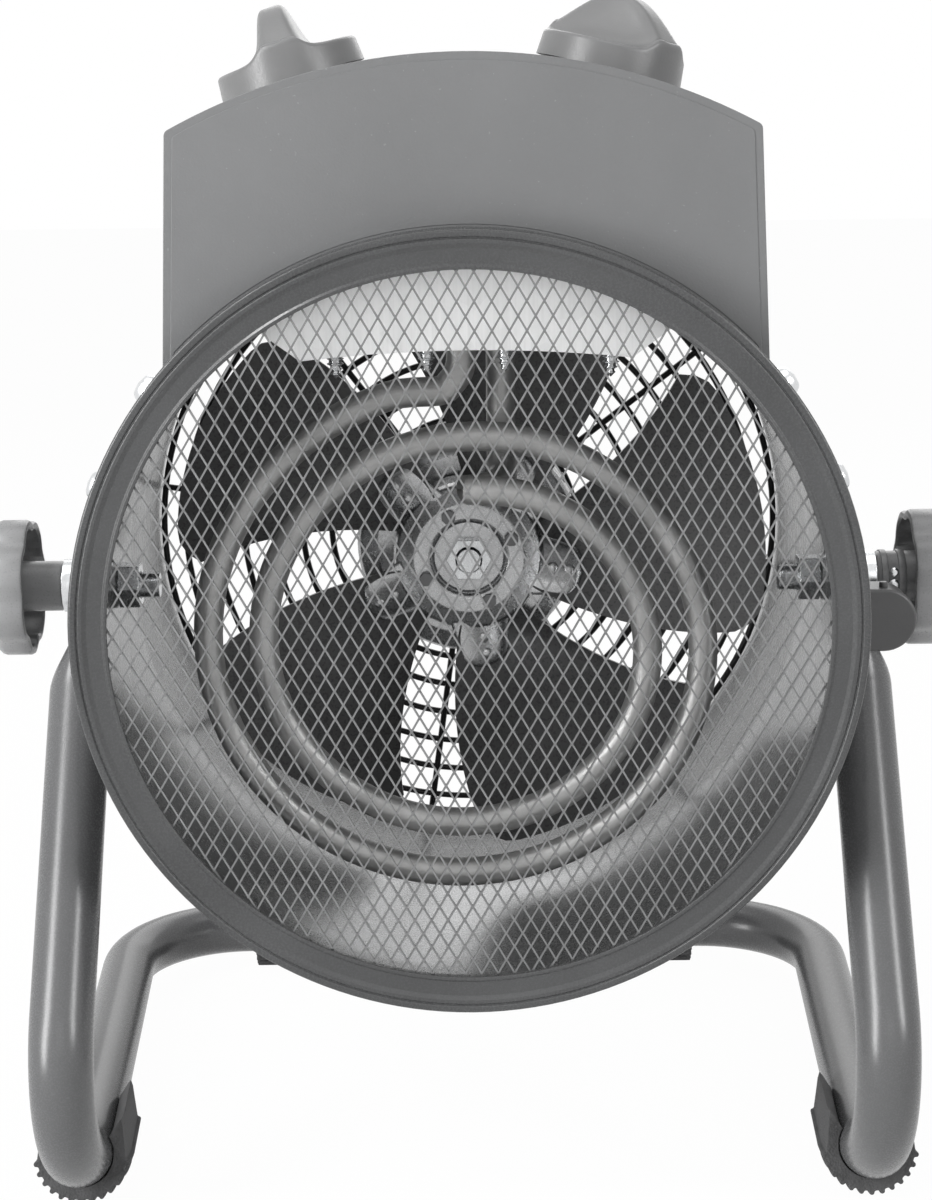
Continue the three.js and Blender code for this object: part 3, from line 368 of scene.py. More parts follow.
# --- shapes in mesh code
def rounded(points, radius, steps=6, closed=True):
    """The same outline with each corner drawn as a curve; radius is one number or one each."""
    count = len(points)
    radii = radius if isinstance(radius, (list, tuple)) else [radius] * count
    out = []
    for i, point in enumerate(points):
        corner = Vector(point)
        if radii[i] == 0 or (not closed and i in (0, count - 1)):
            out.append(corner)
            continue
        before = Vector(points[i - 1]) - corner
        after = Vector(points[(i + 1) % count]) - corner
        reach = radii[i] / math.tan(before.angle(after) / 2)
        reach = min(reach, before.length * 0.49, after.length * 0.49)
        start = corner + before.normalized() * reach
        end = corner + after.normalized() * reach
        for k in range(steps + 1):
            t = k / steps
            out.append(start * (1 - t) ** 2 + corner * (2 * t * (1 - t)) + end * t ** 2)
    return out


def softened(corners, steps, start=0, closed=True):
    """A rounded outline; each corner is a radius, how far from start along the axis, softness."""
    return rounded([(radius, start + along) for radius, along, _ in corners],
                   [soft for *_, soft in corners], steps, closed)


def skin(rings, closed=False, caps=True):
    """A surface through rings of points; closed joins the last ring to the first."""
    count = len(rings[0])
    vertices = [point for ring in rings for point in ring]
    faces = []
    for i in range(len(rings) if closed else len(rings) - 1):
        a, b = i * count, ((i + 1) % len(rings)) * count
        for k in range(count):
            m = (k + 1) % count
            faces.append((a + k, a + m, b + m, b + k))
    if caps and not closed:
        faces.append(tuple(range(count)))
        faces.append(tuple(range(len(vertices) - count, len(vertices))))
    return vertices, faces


def merged(*shapes):
    """Several shapes as one."""
    vertices, faces = [], []
    for points, polygons in shapes:
        base = len(vertices)
        vertices += points
        faces += [tuple(base + k for k in polygon) for polygon in polygons]
    return vertices, faces


def moved(shape, matrix):
    """A shape put somewhere else by a matrix."""
    return [matrix @ Vector(point) for point in shape[0]], shape[1]


def polar(out, angle, aside=0.0):
    """A pair: a point out along a radius at an angle, and aside from that radius."""
    c, s = math.cos(angle), math.sin(angle)
    return out * c - aside * s, out * s + aside * c


def circle(radius, count):
    """Points of a circle as pairs."""
    return [polar(radius, math.tau * k / count) for k in range(count)]


def ease(t):
    """From 0 to 1 with a gentle start and end."""
    return t * t * (3 - 2 * t)


def turned(profile, segments, place, closed=False):
    """A profile of radius and length turned round an axis; place makes a point of u, v, length."""
    rings = [[place(u, v, along) for u, v in circle(radius, segments)]
             for radius, along in profile]
    return skin(rings, closed=closed, caps=False)


def turned_y(profile, segments=96, x=0, height=0, closed=True):
    """A profile of radius and depth turned round an axis that runs front to back."""
    return turned(profile, segments, lambda u, v, depth: at(x + u, depth, height + v), closed)


def plate_y(outline, start, end):
    """An outline of x and height that fills the depths from start to end."""
    return skin([[at(x, depth, z) for x, z in outline] for depth in (start, end)])


def frames_along(points, side):
    """Each point of a path with two directions across it, carried along without twist."""
    side = Vector(side)
    frames = []
    for i, point in enumerate(points):
        ahead = (points[min(i + 1, len(points) - 1)] - points[max(i - 1, 0)]).normalized()
        side = (side - ahead * side.dot(ahead)).normalized()
        frames.append((point, side.copy(), ahead.cross(side)))
    return frames


def tube(points, radius, side, count):
    """A round tube along a path of points in metres."""
    ring = circle(radius * MM, count)
    return skin([[p + a * u + b * v for u, v in ring] for p, a, b in frames_along(points, side)])


def smooth_path(points, steps):
    """A Catmull-Rom curve through points."""
    out = []
    for i in range(len(points) - 1):
        p0, p1 = points[max(i - 1, 0)], points[i]
        p2, p3 = points[i + 1], points[min(i + 2, len(points) - 1)]
        for k in range(steps):
            t = k / steps
            out.append(0.5 * (2 * p1 + (p2 - p0) * t + (2 * p0 - 5 * p1 + 4 * p2 - p3) * t ** 2
                              + (3 * p1 - p0 - 3 * p2 + p3) * t ** 3))
    out.append(points[-1])
    return out


def finished(name, mesh, body, slot, nodes=(), crease=35, bevel=0.0, material=None):
    """Puts a mesh in the scene as a piece that rides on a body and may stand for CAD nodes."""
    if material or not mesh.materials:
        mesh.materials.clear()
        mesh.materials.append(material or FINISHES[slot])
    for polygon in mesh.polygons:
        polygon.use_smooth = True
    mesh.set_sharp_from_angle(angle=math.radians(crease))
    made = bpy.data.objects.new(name, mesh)
    bpy.context.scene.collection.objects.link(made)
    if bevel:
        edge = made.modifiers.new("edges", "BEVEL")
        edge.width = bevel * MM
        edge.segments = 3
        edge.limit_method = "ANGLE"
        edge.angle_limit = math.radians(crease)
        edge.harden_normals = True
    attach(made, body)
    if nodes:
        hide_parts(*nodes)
    return made


def cleaned(mesh, distance, mend):
    """Merges a mesh's double points, then mends its faces."""
    work = bmesh.new()
    work.from_mesh(mesh)
    bmesh.ops.remove_doubles(work, verts=work.verts, dist=distance)
    mend(work)
    work.to_mesh(mesh)
    work.free()


def faces_out(work):
    bmesh.ops.recalc_face_normals(work, faces=work.faces)


def facets_off(work):
    bmesh.ops.dissolve_limit(work, angle_limit=math.radians(1), verts=work.verts, edges=work.edges)


def piece(name, shape, body, slot, nodes=(), mend=faces_out, **look):
    """A piece made from points and faces."""
    mesh = bpy.data.meshes.new(name)
    mesh.from_pydata([tuple(v) for v in shape[0]], [], shape[1])
    cleaned(mesh, 1e-7, mend)
    return finished(name, mesh, body, slot, nodes, **look)


def refined(node, slot, bevel=0.25, crease=32, material=None):
    """A CAD node with its facets smoothed and its edges broken."""
    source = frame["nodes"][node]
    mesh = source.data.copy()
    mesh.name = node + "_finish"
    cleaned(mesh, 1e-6, facets_off)
    mesh.materials.clear()
    return finished(mesh.name, mesh, source["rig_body"], slot, [node], crease, bevel, material)


# --- node trees
class Tree:
    """A Geometry Nodes tree with named inputs for its sizes."""

    def __init__(self, name, sizes):
        self.group = bpy.data.node_groups.new(name, "GeometryNodeTree")
        sockets = self.group.interface
        sockets.new_socket("Geometry", in_out="OUTPUT", socket_type="NodeSocketGeometry")
        self.ids = {}
        for label, value in sizes.items():
            kind = "NodeSocketInt" if isinstance(value, int) else "NodeSocketFloat"
            self.ids[label] = sockets.new_socket(label, in_out="INPUT", socket_type=kind)
        self.ids["Finish"] = sockets.new_socket(
            "Finish", in_out="INPUT", socket_type="NodeSocketMaterial")
        self.sizes = sizes
        self.given = self.group.nodes.new("NodeGroupInput").outputs
        self.result = self.group.nodes.new("NodeGroupOutput").inputs[0]

    def add(self, kind, inputs=None):
        """The first output of a new geometry node."""
        return add_node(self.group, "GeometryNode" + kind, inputs).outputs[0]

    def math(self, operation, a, b=0.0, c=0.0):
        return add_node(self.group, "ShaderNodeMath", {0: a, 1: b, 2: c},
                        operation=operation).outputs[0]

    def times(self, a, b):
        return self.math("MULTIPLY", a, b)

    def vector(self, x=0.0, y=0.0, z=0.0):
        return add_node(self.group, "ShaderNodeCombineXYZ", {0: x, 1: y, 2: z}).outputs[0]

    def length(self, vector):
        return add_node(self.group, "ShaderNodeVectorMath", {0: vector},
                        operation="LENGTH").outputs["Value"]

    def join(self, *parts):
        return self.add("JoinGeometry", {0: list(parts)})

    def copies(self, count, instance, **how):
        """So many real copies of a curve, each scaled or turned by its own index."""
        seeds = self.add("MeshLine", {"Count": count, "Offset": (0, 0, 0)})
        placed = self.add("InstanceOnPoints", {"Points": seeds, "Instance": instance, **how})
        return self.add("RealizeInstances", {0: placed})

    def close(self, geometry):
        """Ends the tree: real geometry with its material."""
        real = self.add("RealizeInstances", {0: geometry})
        last = self.add("SetMaterial", {0: real, 2: self.given["Finish"]})
        self.group.links.new(last, self.result)

    def mesh(self, material):
        """The tree's result as a plain mesh."""
        holder = bpy.data.objects.new(self.group.name, bpy.data.meshes.new(self.group.name))
        bpy.context.scene.collection.objects.link(holder)
        nodes = holder.modifiers.new("nodes", "NODES")
        nodes.node_group = self.group
        for label, value in self.sizes.items():
            nodes[self.ids[label].identifier] = value
        nodes[self.ids["Finish"].identifier] = material
        graph = bpy.context.evaluated_depsgraph_get()
        made = bpy.data.meshes.new_from_object(holder.evaluated_get(graph))
        bpy.data.objects.remove(holder)
        return made


def stood_up(mesh, depth):
    """Turns a flat mesh upright, facing the front, and puts it at a depth."""
    mesh.transform(Matrix.Translation(at(0, depth, 0)) @ Matrix.Rotation(math.pi / 2, 4, "X"))
    return mesh


# --- stand
def stand_path():
    """The tube's centre line from the left arm's tip round to the right one's.

    Each entry is a point, how flat the tube is there and how much of its width is left."""
    bend_height = TUBE_HEIGHT + FRONT_BEND
    bend_depth = PIVOT - (FRONT_BEND + bend_height * math.sin(LEAN)) / -math.cos(LEAN)
    length = (-bend_height - FRONT_BEND * math.sin(LEAN)) / math.cos(LEAN)
    flat_end = FLAT_LENGTH + FLATTEN_LENGTH
    arm_x = ARM_INSIDE + ARM_THICKNESS / 2
    stations = [(-ARM_WIDTH / 2 * math.cos(a), 1, max(math.sin(a), ARM_TIP_MIN))
                for a in (math.pi / 2 * k / 10 for k in range(11))]
    stations += [(FLAT_LENGTH, 1, 1)]
    stations += [(FLAT_LENGTH + t * FLATTEN_LENGTH, 1 - ease(t), 1)
                 for t in (k / 12 for k in range(1, 13))]
    stations += [(flat_end + (length - flat_end) * t, 0, 1) for t in (0.2, 0.4, 0.6, 0.8)]
    side = []
    for s, flat, width in stations:
        opened = min(max(0, (s - FLAT_LENGTH) / FLATTEN_LENGTH), 1)
        along = max(0, (s - flat_end) / (length - flat_end))
        sprung = arm_x + ARM_SPRING * ease(opened)
        x = sprung + (FRONT_HALF - sprung) * along
        side.append((Vector((x, PIVOT - s * math.sin(LEAN), -s * math.cos(LEAN))), flat, width))
    for k in range(BEND_STEPS + 1):
        a = math.pi - LEAN + (math.pi / 2 + LEAN) * k / BEND_STEPS
        u, v = polar(FRONT_BEND, a)
        side.append((Vector((FRONT_HALF, bend_depth + u, bend_height + v)), 0, 1))
    centre_depth = REAR_BAR - REAR_BEND
    run = (centre_depth - REAR_BEND * math.sin(SPLAY) - bend_depth) / math.cos(SPLAY)
    centre_x = FRONT_HALF + run * math.sin(SPLAY) - REAR_BEND * math.cos(SPLAY)
    for k in range(BEND_STEPS + 1):
        u, v = polar(REAR_BEND, -SPLAY + (math.pi / 2 + SPLAY) * k / BEND_STEPS)
        side.append((Vector((centre_x + u, centre_depth + v, TUBE_HEIGHT)), 0, 1))
    mirrored = [(Vector((-p.x, p.y, p.z)), flat, width) for p, flat, width in reversed(side)]
    return side + mirrored, bend_depth, centre_x


STAND_PATH, BEND_DEPTH, BAR_HALF = stand_path()


def stand_tube():
    """The bent tube, pressed flat at its two ends."""
    points = [at(*p) for p, _, _ in STAND_PATH]
    count = 40
    rings = []
    for (point, side, other), (_, flat, width) in zip(frames_along(points, (1, 0, 0)), STAND_PATH):
        across = TUBE / 2 + (ARM_THICKNESS / 2 - TUBE / 2) * flat
        along = (TUBE / 2 + (ARM_WIDTH / 2 - TUBE / 2) * flat) * width
        squareness = 1 - 0.62 * flat
        ring = []
        for k in range(count):
            u, v = polar(1, math.tau * (k + 0.5) / count)
            u = math.copysign(abs(u) ** squareness, u)
            ring.append(point + side * (across * u * MM) + other * (along * v * MM))
        rings.append(ring)
    piece("bent_tube", skin(rings), "stand", "tube_paint", ["stand_tube"], crease=50)


def foot_outline():
    """A clip round the tube, drawn from its left lip over the treads to its right lip."""
    inner = TUBE / 2 + 0.3
    outer = inner + FOOT_WALL
    lip = [(-12, outer), (2, outer + 1.4), (9, outer + 2.2)]  # degrees past the wrap, radius
    tread = ((-4, 0), (-2.6, 0.75), (-1.2, 1), (1.2, 1), (2.6, 0.75), (4, 0))  # degrees, share

    def down(angle, radius):
        a = math.radians(angle)
        return (radius * math.sin(a), -radius * math.cos(a))

    outline = [down(-FOOT_WRAP - past, radius) for past, radius in reversed(lip)]
    for middle in range(-78, 79, 13):
        outline += [down(middle + angle, outer + FOOT_TREAD * lift) for angle, lift in tread]
    outline += [down(FOOT_WRAP + past, radius) for past, radius in lip]
    outline += [down(FOOT_WRAP + 8, outer + 0.6), down(FOOT_WRAP + 2, inner + 1.1)]
    outline += [down(FOOT_WRAP - 2 * FOOT_WRAP * k / 40, inner) for k in range(41)]
    outline += [down(-FOOT_WRAP - 2, inner + 1.1), down(-FOOT_WRAP - 8, outer + 0.6)]
    return outline


def feet():
    """Four rubber clips, two along the front bends and two on the rear bar."""
    outline = foot_outline()
    for side, sign in (("left", -1), ("right", 1)):
        turn = Matrix.Rotation(-sign * SPLAY, 4, "Z")
        place = Matrix.Translation(at(sign * FRONT_HALF, BEND_DEPTH, TUBE_HEIGHT))
        rings = []
        for k in range(7):
            a = math.radians(FOOT_CURL) * (1 - k / 6)
            rings.append([Vector((x, -(FRONT_BEND - z) * math.sin(a),
                                  FRONT_BEND - (FRONT_BEND - z) * math.cos(a))) * MM
                          for x, z in outline])
        rings.append([turn @ (Vector((x, FOOT_LENGTH - 4, z)) * MM) for x, z in outline])
        front = moved(skin(rings), place)
        start = sign * (BAR_HALF - 3) - (FOOT_LENGTH if sign > 0 else 0)
        rear = skin([[at(start + x, REAR_BAR + u, TUBE_HEIGHT + z) for u, z in outline]
                     for x in (0, FOOT_LENGTH)])
        for end, shape in (("front", front), ("rear", rear)):
            piece("foot_clip_%s_%s" % (end, side), shape, "stand", "rubber",
                  ["foot_%s_%s" % (end, side)], bevel=0.5, crease=40)


# --- the drum
def drum_wall():
    """The rolled sheet of the drum, open at the top under the control box."""
    edge = math.acos(SHELL_OPENING_HALF / SHELL_RADIUS)
    over, round_it = 36, 108  # columns over the opening and round the rest
    angles = [edge + (math.pi - 2 * edge) * k / over for k in range(over)]
    angles += [math.pi - edge + (math.pi + 2 * edge) * k / round_it for k in range(round_it)]
    stations = [SHELL_FRONT, SHELL_FRONT + SHELL_OPENING[0], SHELL_OPENING[1], SHELL_BACK]
    vertices = [at(SHELL_RADIUS * math.cos(a), depth, SHELL_RADIUS * math.sin(a))
                for depth in stations for a in angles]
    count = len(angles)
    faces = []
    for row in range(len(stations) - 1):
        a, b = row * count, (row + 1) * count
        for k in range(over if row == 1 else 0, count):
            m = (k + 1) % count
            faces.append((a + k, b + k, b + m, a + m))
    drum = piece("drum_wall", (vertices, faces), "drum", "drum_paint", ["drum_shell"],
                 mend=lambda work: None)
    drum.data.materials.append(INSIDE_WALL)
    wall = drum.modifiers.new("sheet", "SOLIDIFY")
    wall.thickness = SHEET * MM
    wall.offset = -1
    wall.material_offset = 1
    wall.material_offset_rim = 0


def front_rim():
    """The ring: a flat face, a beaded shoulder and a flange over the drum."""
    face, lip, crease, bead, behind = 0.75, 0.25, 0.6, 0.1, SHEET + 0.1
    flange = SHELL_RADIUS + SEAT
    corners = [  # radius, depth and how round the corner is
        (RING_OPENING, lip, 0.3), (RING_OPENING + 0.9, lip, 0.3), (RING_OPENING + 1.6, face, 0.3),
        (RING_RADIUS - 5.2, face, 0.6), (RING_RADIUS - 3.9, bead, 0.7),
        (RING_RADIUS - 2.9, bead, 0.5), (RING_RADIUS - 2.4, crease, 0.2),
        (RING_RADIUS - 2, 0, 0.6), (RING_RADIUS, 0, RING_SHOULDER), (RING_RADIUS, RING_DEPTH, 0.5),
        (flange, RING_DEPTH, 0.5), (flange, SHEET + 2.6, 1), (SHELL_RADIUS - 2.4, behind, 2),
        (RING_OPENING, behind, 0.3)]
    piece("front_rim", turned_y(softened(corners, 8), 160), "drum", "ring_paint", ["front_ring"],
          crease=60)


def expanded_metal():
    """Staggered crossings of thin twisted strands behind the ring."""
    tree = Tree("expanded_metal", {
        "Half width": MESH_CELL[0] / 2 * MM, "Half height": MESH_CELL[1] / 2 * MM,
        "Reach": MESH_REACH * MM, "Strand": MESH_STRAND * MM, "Twist": MESH_TWIST * MM,
        "Columns": MESH_COLUMNS, "Rows": MESH_ROWS})
    given, times, vector = tree.given, tree.times, tree.vector
    wide, high = given["Half width"], given["Half height"]
    strand, twist = given["Strand"], given["Twist"]
    across, up = (times(times(tree.math("SUBTRACT", given[label], 1), half), 2)
                  for label, half in (("Columns", wide), ("Rows", high)))
    grid = tree.add("MeshGrid", {"Size X": across, "Size Y": up,
                                 "Vertices X": given["Columns"], "Vertices Y": given["Rows"]})
    between = tree.add("Transform", {"Geometry": grid, "Translation": vector(wide, high)})
    points = tree.add("MeshToPoints", {"Mesh": tree.join(grid, between)})
    outside = tree.math("GREATER_THAN", tree.length(tree.add("InputPosition")), given["Reach"])
    kept = tree.add("DeleteGeometry", {"Geometry": points, "Selection": outside})
    section = tree.add("CurvePrimitiveQuadrilateral", {
        "Width": strand, "Height": times(strand, 1.25)})
    lines = [tree.add("CurvePrimitiveLine", {
        "Start": vector(0.0, 0.0, twist), "End": vector(times(wide, sign), high, times(twist, -1))})
        for sign in (-1, 1)]
    strands = tree.add("CurveToMesh", {0: tree.join(*lines), 1: section, "Fill Caps": True})
    bond = tree.add("MeshCube", {
        "Size": vector(times(strand, 1.5), times(strand, 2.4), times(strand, 1.2))})
    tree.close(tree.add("InstanceOnPoints", {
        "Points": kept, "Instance": tree.join(strands, bond)}))
    mesh = stood_up(tree.mesh(FINISHES["mesh_zinc"]), sum(depths("front_mesh")) / 2)
    finished("mesh_strands", mesh, "drum", "mesh_zinc", ["front_mesh"], crease=30)


def wire_guard():
    """Concentric wires welded to straight spokes at the back of the drum."""
    rings = int((SHELL_INSIDE - GUARD_WIRE - GUARD_INNER) // GUARD_PITCH) + 1
    tree = Tree("wire_guard", {
        "Rings": rings, "Inner radius": GUARD_INNER * MM, "Pitch": GUARD_PITCH * MM,
        "Wire": GUARD_WIRE / 2 * MM, "Spokes": GUARD_SPOKES, "Rim": (SHELL_INSIDE - 1.5) * MM,
        "Turn": math.radians(GUARD_TURN)})
    given, inner, rim_radius = tree.given, tree.given["Inner radius"], tree.given["Rim"]
    index = tree.add("InputIndex")
    radius = tree.math("MULTIPLY_ADD", index, given["Pitch"], inner)
    unit = tree.add("CurvePrimitiveCircle", {"Resolution": 96, "Radius": 1.0})
    hoops = tree.copies(given["Rings"], unit, Scale=tree.vector(radius, radius, radius))
    rim = tree.add("CurvePrimitiveCircle", {"Resolution": 128, "Radius": rim_radius})
    line = tree.add("CurvePrimitiveLine", {
        "Start": tree.vector(inner), "End": tree.vector(rim_radius)})
    step = tree.math("DIVIDE", math.tau, given["Spokes"])
    spin = tree.vector(0.0, 0.0, tree.math("MULTIPLY_ADD", index, step, given["Turn"]))
    raised = tree.add("Transform", {
        "Geometry": tree.copies(given["Spokes"], line, Rotation=spin),
        "Translation": tree.vector(0.0, 0.0, given["Wire"])})
    section = tree.add("CurvePrimitiveCircle", {"Resolution": 10, "Radius": given["Wire"]})
    tree.close(tree.add("CurveToMesh", {
        0: tree.join(hoops, rim, raised), 1: section, "Fill Caps": True}))
    depth = depths("rear_guard")[1] - GUARD_WIRE / 2
    finished("wire_guard", stood_up(tree.mesh(FINISHES["guard_black"]), depth), "drum",
             "guard_black", ["rear_guard"], crease=60)


# --- control box
def arch(inset, bottom):
    """The box's outline from its right foot over the arch to its left foot."""
    radius, half, foot = BOX_ARCH - inset, BOX_TOP_HALF - inset, BOX_BOTTOM_HALF - inset
    shoulder = half * 0.95  # where the rounded corner has run into the arch

    def on_arch(x):
        return (x, BOX_CENTRE + math.sqrt(radius ** 2 - x ** 2))

    steps = 40
    right = rounded([(foot, bottom), on_arch(half), on_arch(shoulder)], BOX_CORNER, 5, closed=False)
    right = [(foot, bottom)] + right[1:-1]
    top = []
    for k in range(steps + 1):
        a = math.asin(shoulder / radius) * (1 - 2 * k / steps)
        top.append((radius * math.sin(a), BOX_CENTRE + radius * math.cos(a)))
    return right + top + [(-x, z) for x, z in reversed(right)]


def end_plate(name, node, start, end):
    """An end of the box: the arch over a saddle that sits on the drum, with a folded hem."""
    saddle = SHELL_RADIUS + SEAT
    reach = math.asin(BOX_BOTTOM_HALF / saddle)

    def outline(inset, share):
        radius = saddle + inset
        curve = (share * reach * (2 * k / 48 - 1) for k in range(1, 48))
        return arch(inset, radius * math.cos(reach)) + [
            (radius * math.sin(a), radius * math.cos(a)) for a in curve]

    face = start if start < BOX_BACK / 2 else end
    panel = plate_y(outline(BOX_HEM, 0.96), face - BOX_RAISE, face + BOX_RAISE)
    piece(name, merged(plate_y(outline(0, 1), start, end), panel), "drum", "box_paint", [node],
          bevel=0.35)


def control_box():
    """The folded cover between two end plates."""
    start, end = BOX_FRONT + SHEET + BOX_GAP, BOX_BACK - SHEET - BOX_GAP
    low = heights("control_box_cover")[0]
    strip = arch(0, low) + arch(SHEET, low)[::-1]
    piece("box_cover", plate_y(strip, start, end), "drum", "box_paint", ["control_box_cover"],
          bevel=0.25)
    end_plate("box_front", "control_box_front", BOX_FRONT, start - BOX_GAP / 2)
    end_plate("box_rear", "control_box_rear", end + BOX_GAP / 2, BOX_BACK)


def cable_gland():
    """The empty inlet: a threaded tube with a six-sided flange and a gripped, domed nut."""
    low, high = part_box("cable_gland")
    x = (low.x + high.x) / 2 / MM
    height = sum(heights("cable_gland")) / 2
    inner = depths("cable_gland")[0]
    bore, thread, back = 4, 8, BOX_BACK
    corners = [(bore, inner, 0.2), (thread, inner, 0.4), (thread, back + 0.3, 0.2),
               (thread + 1.5, back + 5, 0.2), (thread + 1.8, back + 11, 1.5),
               (thread - 1.2, back + 15.7, 2), (bore, back + 15.7, 0.6)]
    body = turned_y(softened(corners, 5), 48, x, height)

    def column(corners, angle, out, start, end):
        u, v = polar(out, angle)
        return plate_y([(x + u + p, height + v + q) for p, q in corners], back + start, back + end)

    flange = column(circle(thread + 4, 6), 0, 0, 0.3, 5)
    grips = [column(circle(0.9, 8), math.tau * k / 12, thread + 1.4, 5.5, 11.5) for k in range(12)]
    piece("gland", merged(body, flange, *grips), "drum", "dark_plastic", ["cable_gland"], bevel=0.3)


# --- heating tube
def heating_tube():
    """Down through the shield, two turns of a spiral, back and up again."""
    def spiral(turn):
        radius = COIL_OUTER - COIL_PITCH * turn
        return (-radius * math.sin(math.tau * turn), COIL_DEPTH,
                COIL_CENTRE + COIL_SQUASH * radius * math.cos(math.tau * turn))

    join = spiral(COIL_START)[2] + 0.6
    top = heights("heating_element")[1]
    front, rear = COIL_ENDS
    points = [(front, COIL_DEPTH, top), (front, COIL_DEPTH, (top + join + COIL_BEND) / 2)]
    for k in range(4):
        a = math.pi / 8 * k
        points.append((front - COIL_BEND * (1 - math.cos(a)), COIL_DEPTH,
                       join + COIL_BEND * (1 - math.sin(a))))
    steps = 24 * COIL_TURNS
    points += [spiral(COIL_START + (COIL_TURNS - COIL_START) * k / steps)
               for k in range(steps + 1)]
    x, _, end = points[-1]
    back = COIL_DEPTH + COIL_BACK
    points += [(x + 5, COIL_DEPTH + 3.5, end), (rear, back - 7, end + 1), (rear, back - 1, end + 8)]
    points += [(rear, back, end + 8 + (top - end - 8) * t) for t in (0.35, 0.7, 1)]
    path = smooth_path([at(*p) for p in points], 5)
    piece("spiral_tube", tube(path, COIL_TUBE / 2, (0, 1, 0), 28), "drum", "heater_steel",
          ["heating_element"], crease=60)


# --- fan
def fan_blade(turn):
    """A twisted sheet that widens and runs ahead towards its tip."""
    across, along = 22, 20
    root, middle = HUB_RADIUS - 2, FAN_FRONT + HUB_DEPTH / 2
    ahead, trim_from = math.radians(14), 0.72
    points = []
    for lift in (-BLADE_HALF_SHEET, BLADE_HALF_SHEET):
        for i in range(across + 1):
            u = i / across
            radius = root + (FAN_RADIUS - root) * u
            sweep = math.radians(46 + 15 * math.sqrt(u))
            for j in range(along + 1):
                w = j / along - 0.5
                edge = abs(2 * w)
                a = w * sweep * (1 - 0.1 * u * edge ** 2) + ahead * u + turn
                depth = (17 + 9 * u) * w - 3 * (1 - edge ** 2) * u + lift
                corner = max(0, edge - trim_from) / (1 - trim_from)
                x, z = polar(radius - 7 * corner ** 2 * u ** 3, a)
                points.append(at(x, middle + depth, z))
    row = along + 1
    layer = (across + 1) * row
    faces = []
    for i in range(across):
        for a in range(i * row, i * row + along):
            faces.append((a, a + 1, a + row + 1, a + row))
            faces.append((a + layer, a + layer + row, a + layer + row + 1, a + layer + 1))
    rim = list(range(row)) + [i * row + along for i in range(1, across + 1)]
    rim += [across * row + j for j in range(along - 1, -1, -1)]
    rim += [i * row for i in range(across - 1, 0, -1)]
    for a, b in zip(rim, rim[1:] + rim[:1]):
        faces.append((a, a + layer, b + layer, b))
    return points, faces


def hub_arm(turn):
    """A crowned finger of the hub that lies on a blade, with two rivet heads."""
    middle = turn - math.radians(ARM_BEHIND)
    steps, blunt_from = 14, 0.72
    rings = []
    for k in range(steps + 1):
        u = k / steps
        end = math.sqrt(max(0.0004, 1 - max(0, (u - blunt_from) / (1 - blunt_from)) ** 2))
        half, thick = (9.6 - 2.2 * u) * end, 2.4 * (0.4 + 0.6 * end)
        ring = []
        for c, d in circle(1, 24):
            side = half * c
            x, z = polar(21 + 17.5 * u, middle, side)
            ring.append(at(x, FAN_FRONT + 6.2 + 0.45 * side + thick * d, z))
        rings.append(ring)
    head = softened([(0, 5.4, 0), (2, 5.4, 0.1), (2, 3.9, 1), (0, 3.1, 0)], 4, FAN_FRONT, False)
    rivets = [turned_y(head, 24, *polar(out, middle), closed=False) for out in RIVET_PLACES]
    return merged(skin(rings), *rivets)


def fan():
    """Five dark blades riveted to the arms of a bright cast hub; the blades' dark grey is painted
    shade.
    """
    turns = [math.radians(360 * k / FAN_BLADES - FAN_TURN) for k in range(FAN_BLADES)]
    piece("fan_blades", merged(*[fan_blade(turn) for turn in turns]), "fan", "fan_paint",
          ["fan_rotor"], crease=50)
    outer, recess = HUB_RADIUS, HUB_RECESS
    corners = [  # radius, depth behind the fan's front and how round the corner is
        (HUB_BORE, 3, 0.2), (recess - 1, 3.4, 0.8), (recess, 4.4, 0.2), (recess, 0.4, 0.5),
        (recess + 1, 0, 0.6), (outer - 7, 0.1, 3), (outer - 1, 2.6, 2.2), (outer, 6, 0.5),
        (outer - 0.6, 6.5, 0.3), (outer, 7, 0.5), (outer, HUB_DEPTH, 0.6),
        (HUB_BORE, HUB_DEPTH, 0.2)]
    hub = turned_y(softened(corners, 8, FAN_FRONT))
    piece("fan_hub", merged(hub, *[hub_arm(turn) for turn in turns]), "fan", "cast_alloy",
          ["fan_rotor"], crease=50)
    for node in ("fan_nut", "motor_shaft"):
        refined(node, "zinc")
    # The hub screws take the dark zinc, which is painted shade.
    for k in range(1, 5):
        refined("hub_screw_%d" % k, "zinc", material=SHADE_DARK_ZINC)


def motor():
    """The ribbed can with its end bells, and the screws that hold it to its plate."""
    start, end = depths("motor_body")
    radius, bore = MOTOR_RADIUS, 4.4
    groove, length = radius - 0.8, end - start
    can = turned_y(softened([
        (bore, 2.4, 0.2), (13, 2.4, 0.3), (13, 0, 0.8), (radius - 7, 0, 2),
        (radius - 1.2, 2.5, 1.5), (radius, 5, 0.8), (radius, 12, 0.3), (groove, 12.4, 0.2),
        (groove, 13.4, 0.2), (radius, 13.8, 0.3), (radius, length - 4, 2), (radius - 3, length, 1),
        (bore, length, 0.2)], 5, start), 72)
    ribs, rib = 24, [(-0.6, -0.7), (0.5, -0.7), (0.5, 0.7), (-0.6, 0.7)]
    ribs = [plate_y([polar(radius + out, math.tau * k / ribs, aside) for out, aside in rib],
                    start + 15, end - 5) for k in range(ribs)]
    piece("motor_can", merged(can, *ribs), "drum", "cast_alloy", ["motor_body"], crease=40)
    for k in range(1, 5):
        refined("motor_screw_%d" % k, "zinc")
    refined("motor_mount_plate", "galvanised")


